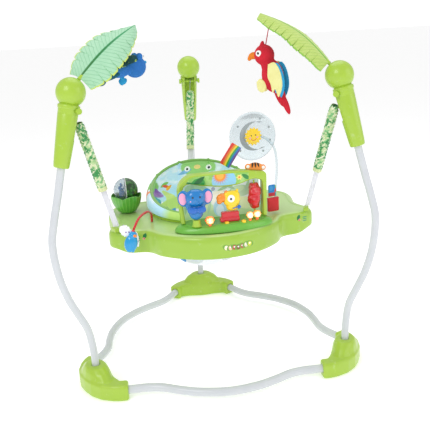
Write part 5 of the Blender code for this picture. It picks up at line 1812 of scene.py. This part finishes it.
def palm_leaf(side, rows=200, columns=81):
    """The blade's grid, the stem's path and the blade's frame. Half width is a sine of the share along,
    notched by a saw of the leaflets, and the blade bows up along its length and down towards its edges."""
    tip = TIPS[side]
    length = math.hypot(ROOT[0] - tip[0], tip[1] - ROOT[1])
    slope = math.degrees(math.atan2(tip[1] - ROOT[1], ROOT[0] - tip[0]))
    along = np.linspace(0, 1, rows)[:, None]
    across = np.linspace(-1, 1, columns)[None]
    half = 0.062 * np.sin(math.pi * np.minimum(1, 0.10 + 0.90 * along) ** 0.8) ** 0.7 + 0.002
    saw = (along * LEAFLETS[side] + 0.35) % 1.0
    calm = np.clip(along / 0.15, 0, 1) * np.clip((1 - along) / 0.06, 0, 1)
    notch = 0.15 * np.clip((saw - 0.55) / 0.45, 0, 1) ** 2 * calm
    half = half * (1 - notch)
    bow = 0.020 * np.sin(math.pi * along) - 0.020 * across**2
    ribs = 0.0007 * np.cos(2 * math.pi * LEAFLETS[side] * (along - 0.10 * np.abs(across))) * np.abs(across)
    wave = 0.0016 * np.sin(2 * math.pi * (2.5 * along + 0.2 * across)) * across**2
    grid = np.stack([-length * along + 0 * across, half * across, bow + ribs + wave], -1)
    matrix = LEG[side] @ shift(ROOT[0], 0, ROOT[1])
    bladed = matrix @ turn("Y", slope) @ turn("X", ROLLS[side])
    outward = np.array((TOWER_BALL[0] - ROOT[0], 0, TOWER_BALL[1] - ROOT[1]))
    stem_end = outward * (1 - (BALL_R + 0.0008) / np.linalg.norm(outward))
    stem = put(matrix, np.linspace(stem_end, (-0.030, 0, 0.022), 8))
    return put(bladed, grid), stem, bladed


for side, (under, top) in LEAF_LOOKS.items():
    grid, stem, bladed = palm_leaf(side)
    blade = surface(f"palm_leaf_{side}", grid, wrap=False, caps=False, smooth=60)
    facing = np.mean([polygon.normal.dot(Vector(bladed[:3, 2])) for polygon in blade.data.polygons])
    if facing < 0:
        blade.data.flip_normals()
    blade.data.materials.append(top)
    blade.data.materials.append(under)
    modifier(blade, "SOLIDIFY", thickness=0.0022, offset=0, material_offset=1, material_offset_rim=0)
    settled(blade, 50)
    share = np.linspace(0.01, 0.97, 40)
    length = math.hypot(ROOT[0] - TIPS[side][0], TIPS[side][1] - ROOT[1])
    rib_grid = put(bladed,
                   np.column_stack([-share * length, 0 * share, 0.020 * np.sin(math.pi * share) - 0.0006]))
    rib = swept("rib", rib_grid, np.linspace(0.0030, 0.0012, 40), 14, bladed[:3, 1])
    rib.data.materials.append(DARK_GREEN if side == "left" else GREEN)
    stem_rod = swept("stem", stem, np.linspace(0.0056, 0.0048, 8), 20, bladed[:3, 1])
    stem_rod.data.materials.append(LIME)
    whole_leaf = joined(f"palm_leaf_{side}", [blade, rib, stem_rod])
    fix(whole_leaf, f"leaf_{side}", None, "leaf_cloth_top", f"leaf_{side}")

# %% [markdown]
# ## Hanging plush toys
#
# Plush is short pile: velvet shows as sheen and a fuzzy, noisy bump, and no edge is sharp. Each toy is
# stuffed forms fused with a coarse skin, with flat felt wings and feet sewn on, and hangs on a cord.


# %% Plush
def plush(name, colour, shade, spots=None):
    material, shader, place = new_material(name)
    pile = place.noise(1400.0, 2.0)
    crush = place.noise(45.0, 4.0)
    layers = [(crush.above(0.5, 0.3) * 0.5, shade), (pile.above(0.6, 0.2) * 0.25, shade)]
    if spots:
        marks = place.cells(spots[0])
        layers.append((marks.below(spots[1], 0.08), spots[2]))
    tone = layered(place, colour, layers)
    feed(shader, Base_Color=tone, Roughness=0.85 + pile * 0.1, height=pile * 0.6 + crush * 1.4, depth=0.0012,
         Sheen_Weight=0.6, Sheen_Roughness=0.35, Sheen_Tint=paint(colour))
    return material


RED_PLUSH = plush("red_plush", "#D81E34", "#B80F26")
BLUE_PLUSH = plush("blue_plush", "#2B78C8", "#1C5AA6")
TEAL_PLUSH = plush("teal_plush", "#0E5F78", "#0A4A62")
DOTTED_PLUSH = plush("dotted_plush", "#123A3A", "#0E5A6A", (95.0, 0.30, "#A8C43A"))
ORANGE_PLUSH = plush("orange_plush", "#F08A2C", "#E27718")
CREAM_FELT = plush("cream_felt", "#F3EFA8", "#E8E08C")
AQUA_PLUSH = plush("aqua_plush", "#2FA8DC", "#1E90C8")
WHITE_FELT = plush("white_felt", "#F8F8F6", "#E8E8E4")
CORD_RED = toy_cloth("red_cord", "#C8283A", "#9A1828", 0.0008, 0.0002)


def felt(name, matrix, outline, depth, material):
    """A flat sewn piece: an outline in x and z with soft edges."""
    piece = plate(name, outline, depth, depth * 0.42, matrix)
    piece.data.materials.clear()
    piece.data.materials.append(material)
    return piece


# %% Parrot
P = LEG["right"] @ shift(0.2271 - 0.0011, 0, 1.030)
parrot_red = coloured("parrot_red", RED_PLUSH, [
    form(P, (0.0330, 0.0215, 0.0480), (0.006, 0, -0.140), (0, -8, 0)),
    form(P, (0.0300, 0.0250, 0.0300), (-0.018, 0, -0.080)),
    form(P, (0.0220, 0.0190, 0.0260), (-0.006, 0, -0.108)),
    form(P, (0.0150, 0.0120, 0.0420), (0.026, 0, -0.190), (0, -20, 0)),
    form(P, (0.0090, 0.0080, 0.0320), (0.044, 0, -0.222), (0, -20, 0)),
    form(P, (0.0060, 0.0070, 0.0110), (-0.024, 0, -0.050), (0, 20, 0)),
], 0.0020, 6)
beak = coloured("beak", ORANGE_PLUSH, [
    form(P, (0.0165, 0.0110, 0.0105), (-0.0500, 0, -0.0810), (0, -8, 0)),
    form(P, (0.0065, 0.0065, 0.0085), (-0.0630, 0, -0.0880), (0, 25, 0)),
], 0.0016, 4)
parrot_eyes = []
for way in (-1, 1):
    parrot_eyes.append(coloured("eye", WHITE,
                                [form(P, (0.0088, 0.0030, 0.0088), (-0.0270, way * 0.0228, -0.0740))]))
    parrot_eyes.append(coloured("pupil", BLACK,
                                [form(P, (0.0036, 0.0018, 0.0040), (-0.0280, way * 0.0252, -0.0735))]))
WING_LINE = smooth_path([(0.000, -0.105), (0.020, -0.100), (0.036, -0.125), (0.042, -0.165), (0.030, -0.198),
                         (0.020, -0.176),
                         (0.012, -0.186), (0.006, -0.160), (-0.002, -0.140), (0.000, -0.105)], 6)[:-1]
parrot_felts = []
for way in (-1, 1):
    at = P @ shift(0, way * 0.0225, 0)
    parrot_felts.append(felt("wing", at, WING_LINE, 0.0034, CREAM_FELT))
    parrot_felts.append(felt("wing_tip", at @ shift(0.010, -way * 0.0012, -0.002), WING_LINE * (0.92, 1.0),
                             0.0030, AQUA_PLUSH))
foot_line = smooth_path([(-0.030, -0.150), (-0.018, -0.140), (-0.004, -0.150), (0.000, -0.168),
                         (-0.012, -0.180), (-0.026, -0.172),
                         (-0.030, -0.150)], 6)[:-1]
for way in (-1, 1):
    parrot_felts.append(felt("foot", P @ shift(-0.010, way * 0.0130, -0.006), foot_line, 0.0060, CREAM_FELT))
cord_line = put(P, np.linspace((-0.0146, 0, -0.060), (-0.0014, 0, 0.0), 12))
string = swept("string", cord_line, 0.0015, 12, P[:3, 1])
string.data.materials.append(CORD_RED)
assembled("parrot_plush", [parrot_red, beak, *parrot_eyes, *parrot_felts, string], "parrot", "red_plush",
          "parrot")

# %% Frog
F = LEG["left"] @ shift(0.2630 - 0.0180, 0, 0.9980)
frog_blue = coloured("frog_blue", BLUE_PLUSH, [
    form(F, (0.0330, 0.0250, 0.0310), (-0.022, 0, -0.058)),
    form(F, (0.0340, 0.0200, 0.0180), (0.026, 0, -0.066), (0, 8, 0)),
    form(F, (0.0100, 0.0090, 0.0100), (-0.030, -0.014, -0.030)),
    form(F, (0.0100, 0.0090, 0.0100), (-0.030, 0.014, -0.030)),
], 0.0020, 6)
frog_top = coloured("frog_top", DOTTED_PLUSH, [
    form(F, (0.0260, 0.0215, 0.0150), (-0.012, 0, -0.0405), (0, 8, 0)),
    form(F, (0.0330, 0.0165, 0.0100), (0.030, 0, -0.0545), (0, 8, 0)),
], 0.0018, 5)
limbs = [
    coloured("leg", TEAL_PLUSH, [form(F, (0.0300, 0.0085, 0.0085), (0.064, 0.012, -0.078), (0, 14, -6)),
                                 form(F, (0.0130, 0.0120, 0.0090), (0.094, 0.014, -0.090), (0, 30, 0))],
                                 0.0018, 4),
    coloured("arm", AQUA_PLUSH, [form(F, (0.0300, 0.0080, 0.0080), (0.058, -0.012, -0.066), (0, 10, 8)),
                                 form(F, (0.0075, 0.0070, 0.0120), (0.088, -0.014, -0.074), (0, -30, 0)),
                                 form(F, (0.0075, 0.0070, 0.0120), (0.090, -0.012, -0.086), (0, 20, 0)),
                                 form(F, (0.0100, 0.0070, 0.0070), (0.098, -0.014, -0.080), (0, 0, 0))],
                                 0.0018, 4),
    coloured("hand", AQUA_PLUSH, [form(F, (0.0070, 0.0065, 0.0150), (0.014, -0.016, -0.086), (0, 12, 0)),
                                  form(F, (0.0060, 0.0060, 0.0100), (0.006, -0.017, -0.097), (0, -35, 0)),
                                  form(F, (0.0060, 0.0060, 0.0100), (0.018, -0.017, -0.099), (0, 30, 0))],
                                  0.0018, 4),
    coloured("snout", AQUA_PLUSH, [form(F, (0.0120, 0.0070, 0.0060), (-0.052, -0.006, -0.050), (0, 10, 0))]),
]
frog_eyes = []
for way in (-1, 1):
    frog_eyes.append(coloured("eye", WHITE_FELT,
                              [form(F, (0.0045, 0.0050, 0.0055), (-0.0380, way * 0.0150, -0.0300))]))
    frog_eyes.append(coloured("pupil", BLACK,
                              [form(F, (0.0022, 0.0026, 0.0030), (-0.0418, way * 0.0155, -0.0300))]))
frog_string = swept("string", put(F, np.linspace((0.0142, 0, -0.050), (0.0178, 0, -0.001), 12)), 0.0015, 12,
                    F[:3, 1])
frog_string.data.materials.append(CORD_RED)
assembled("frog_plush", [frog_blue, frog_top, *limbs, *frog_eyes, frog_string], "frog", "blue_plush", "frog")
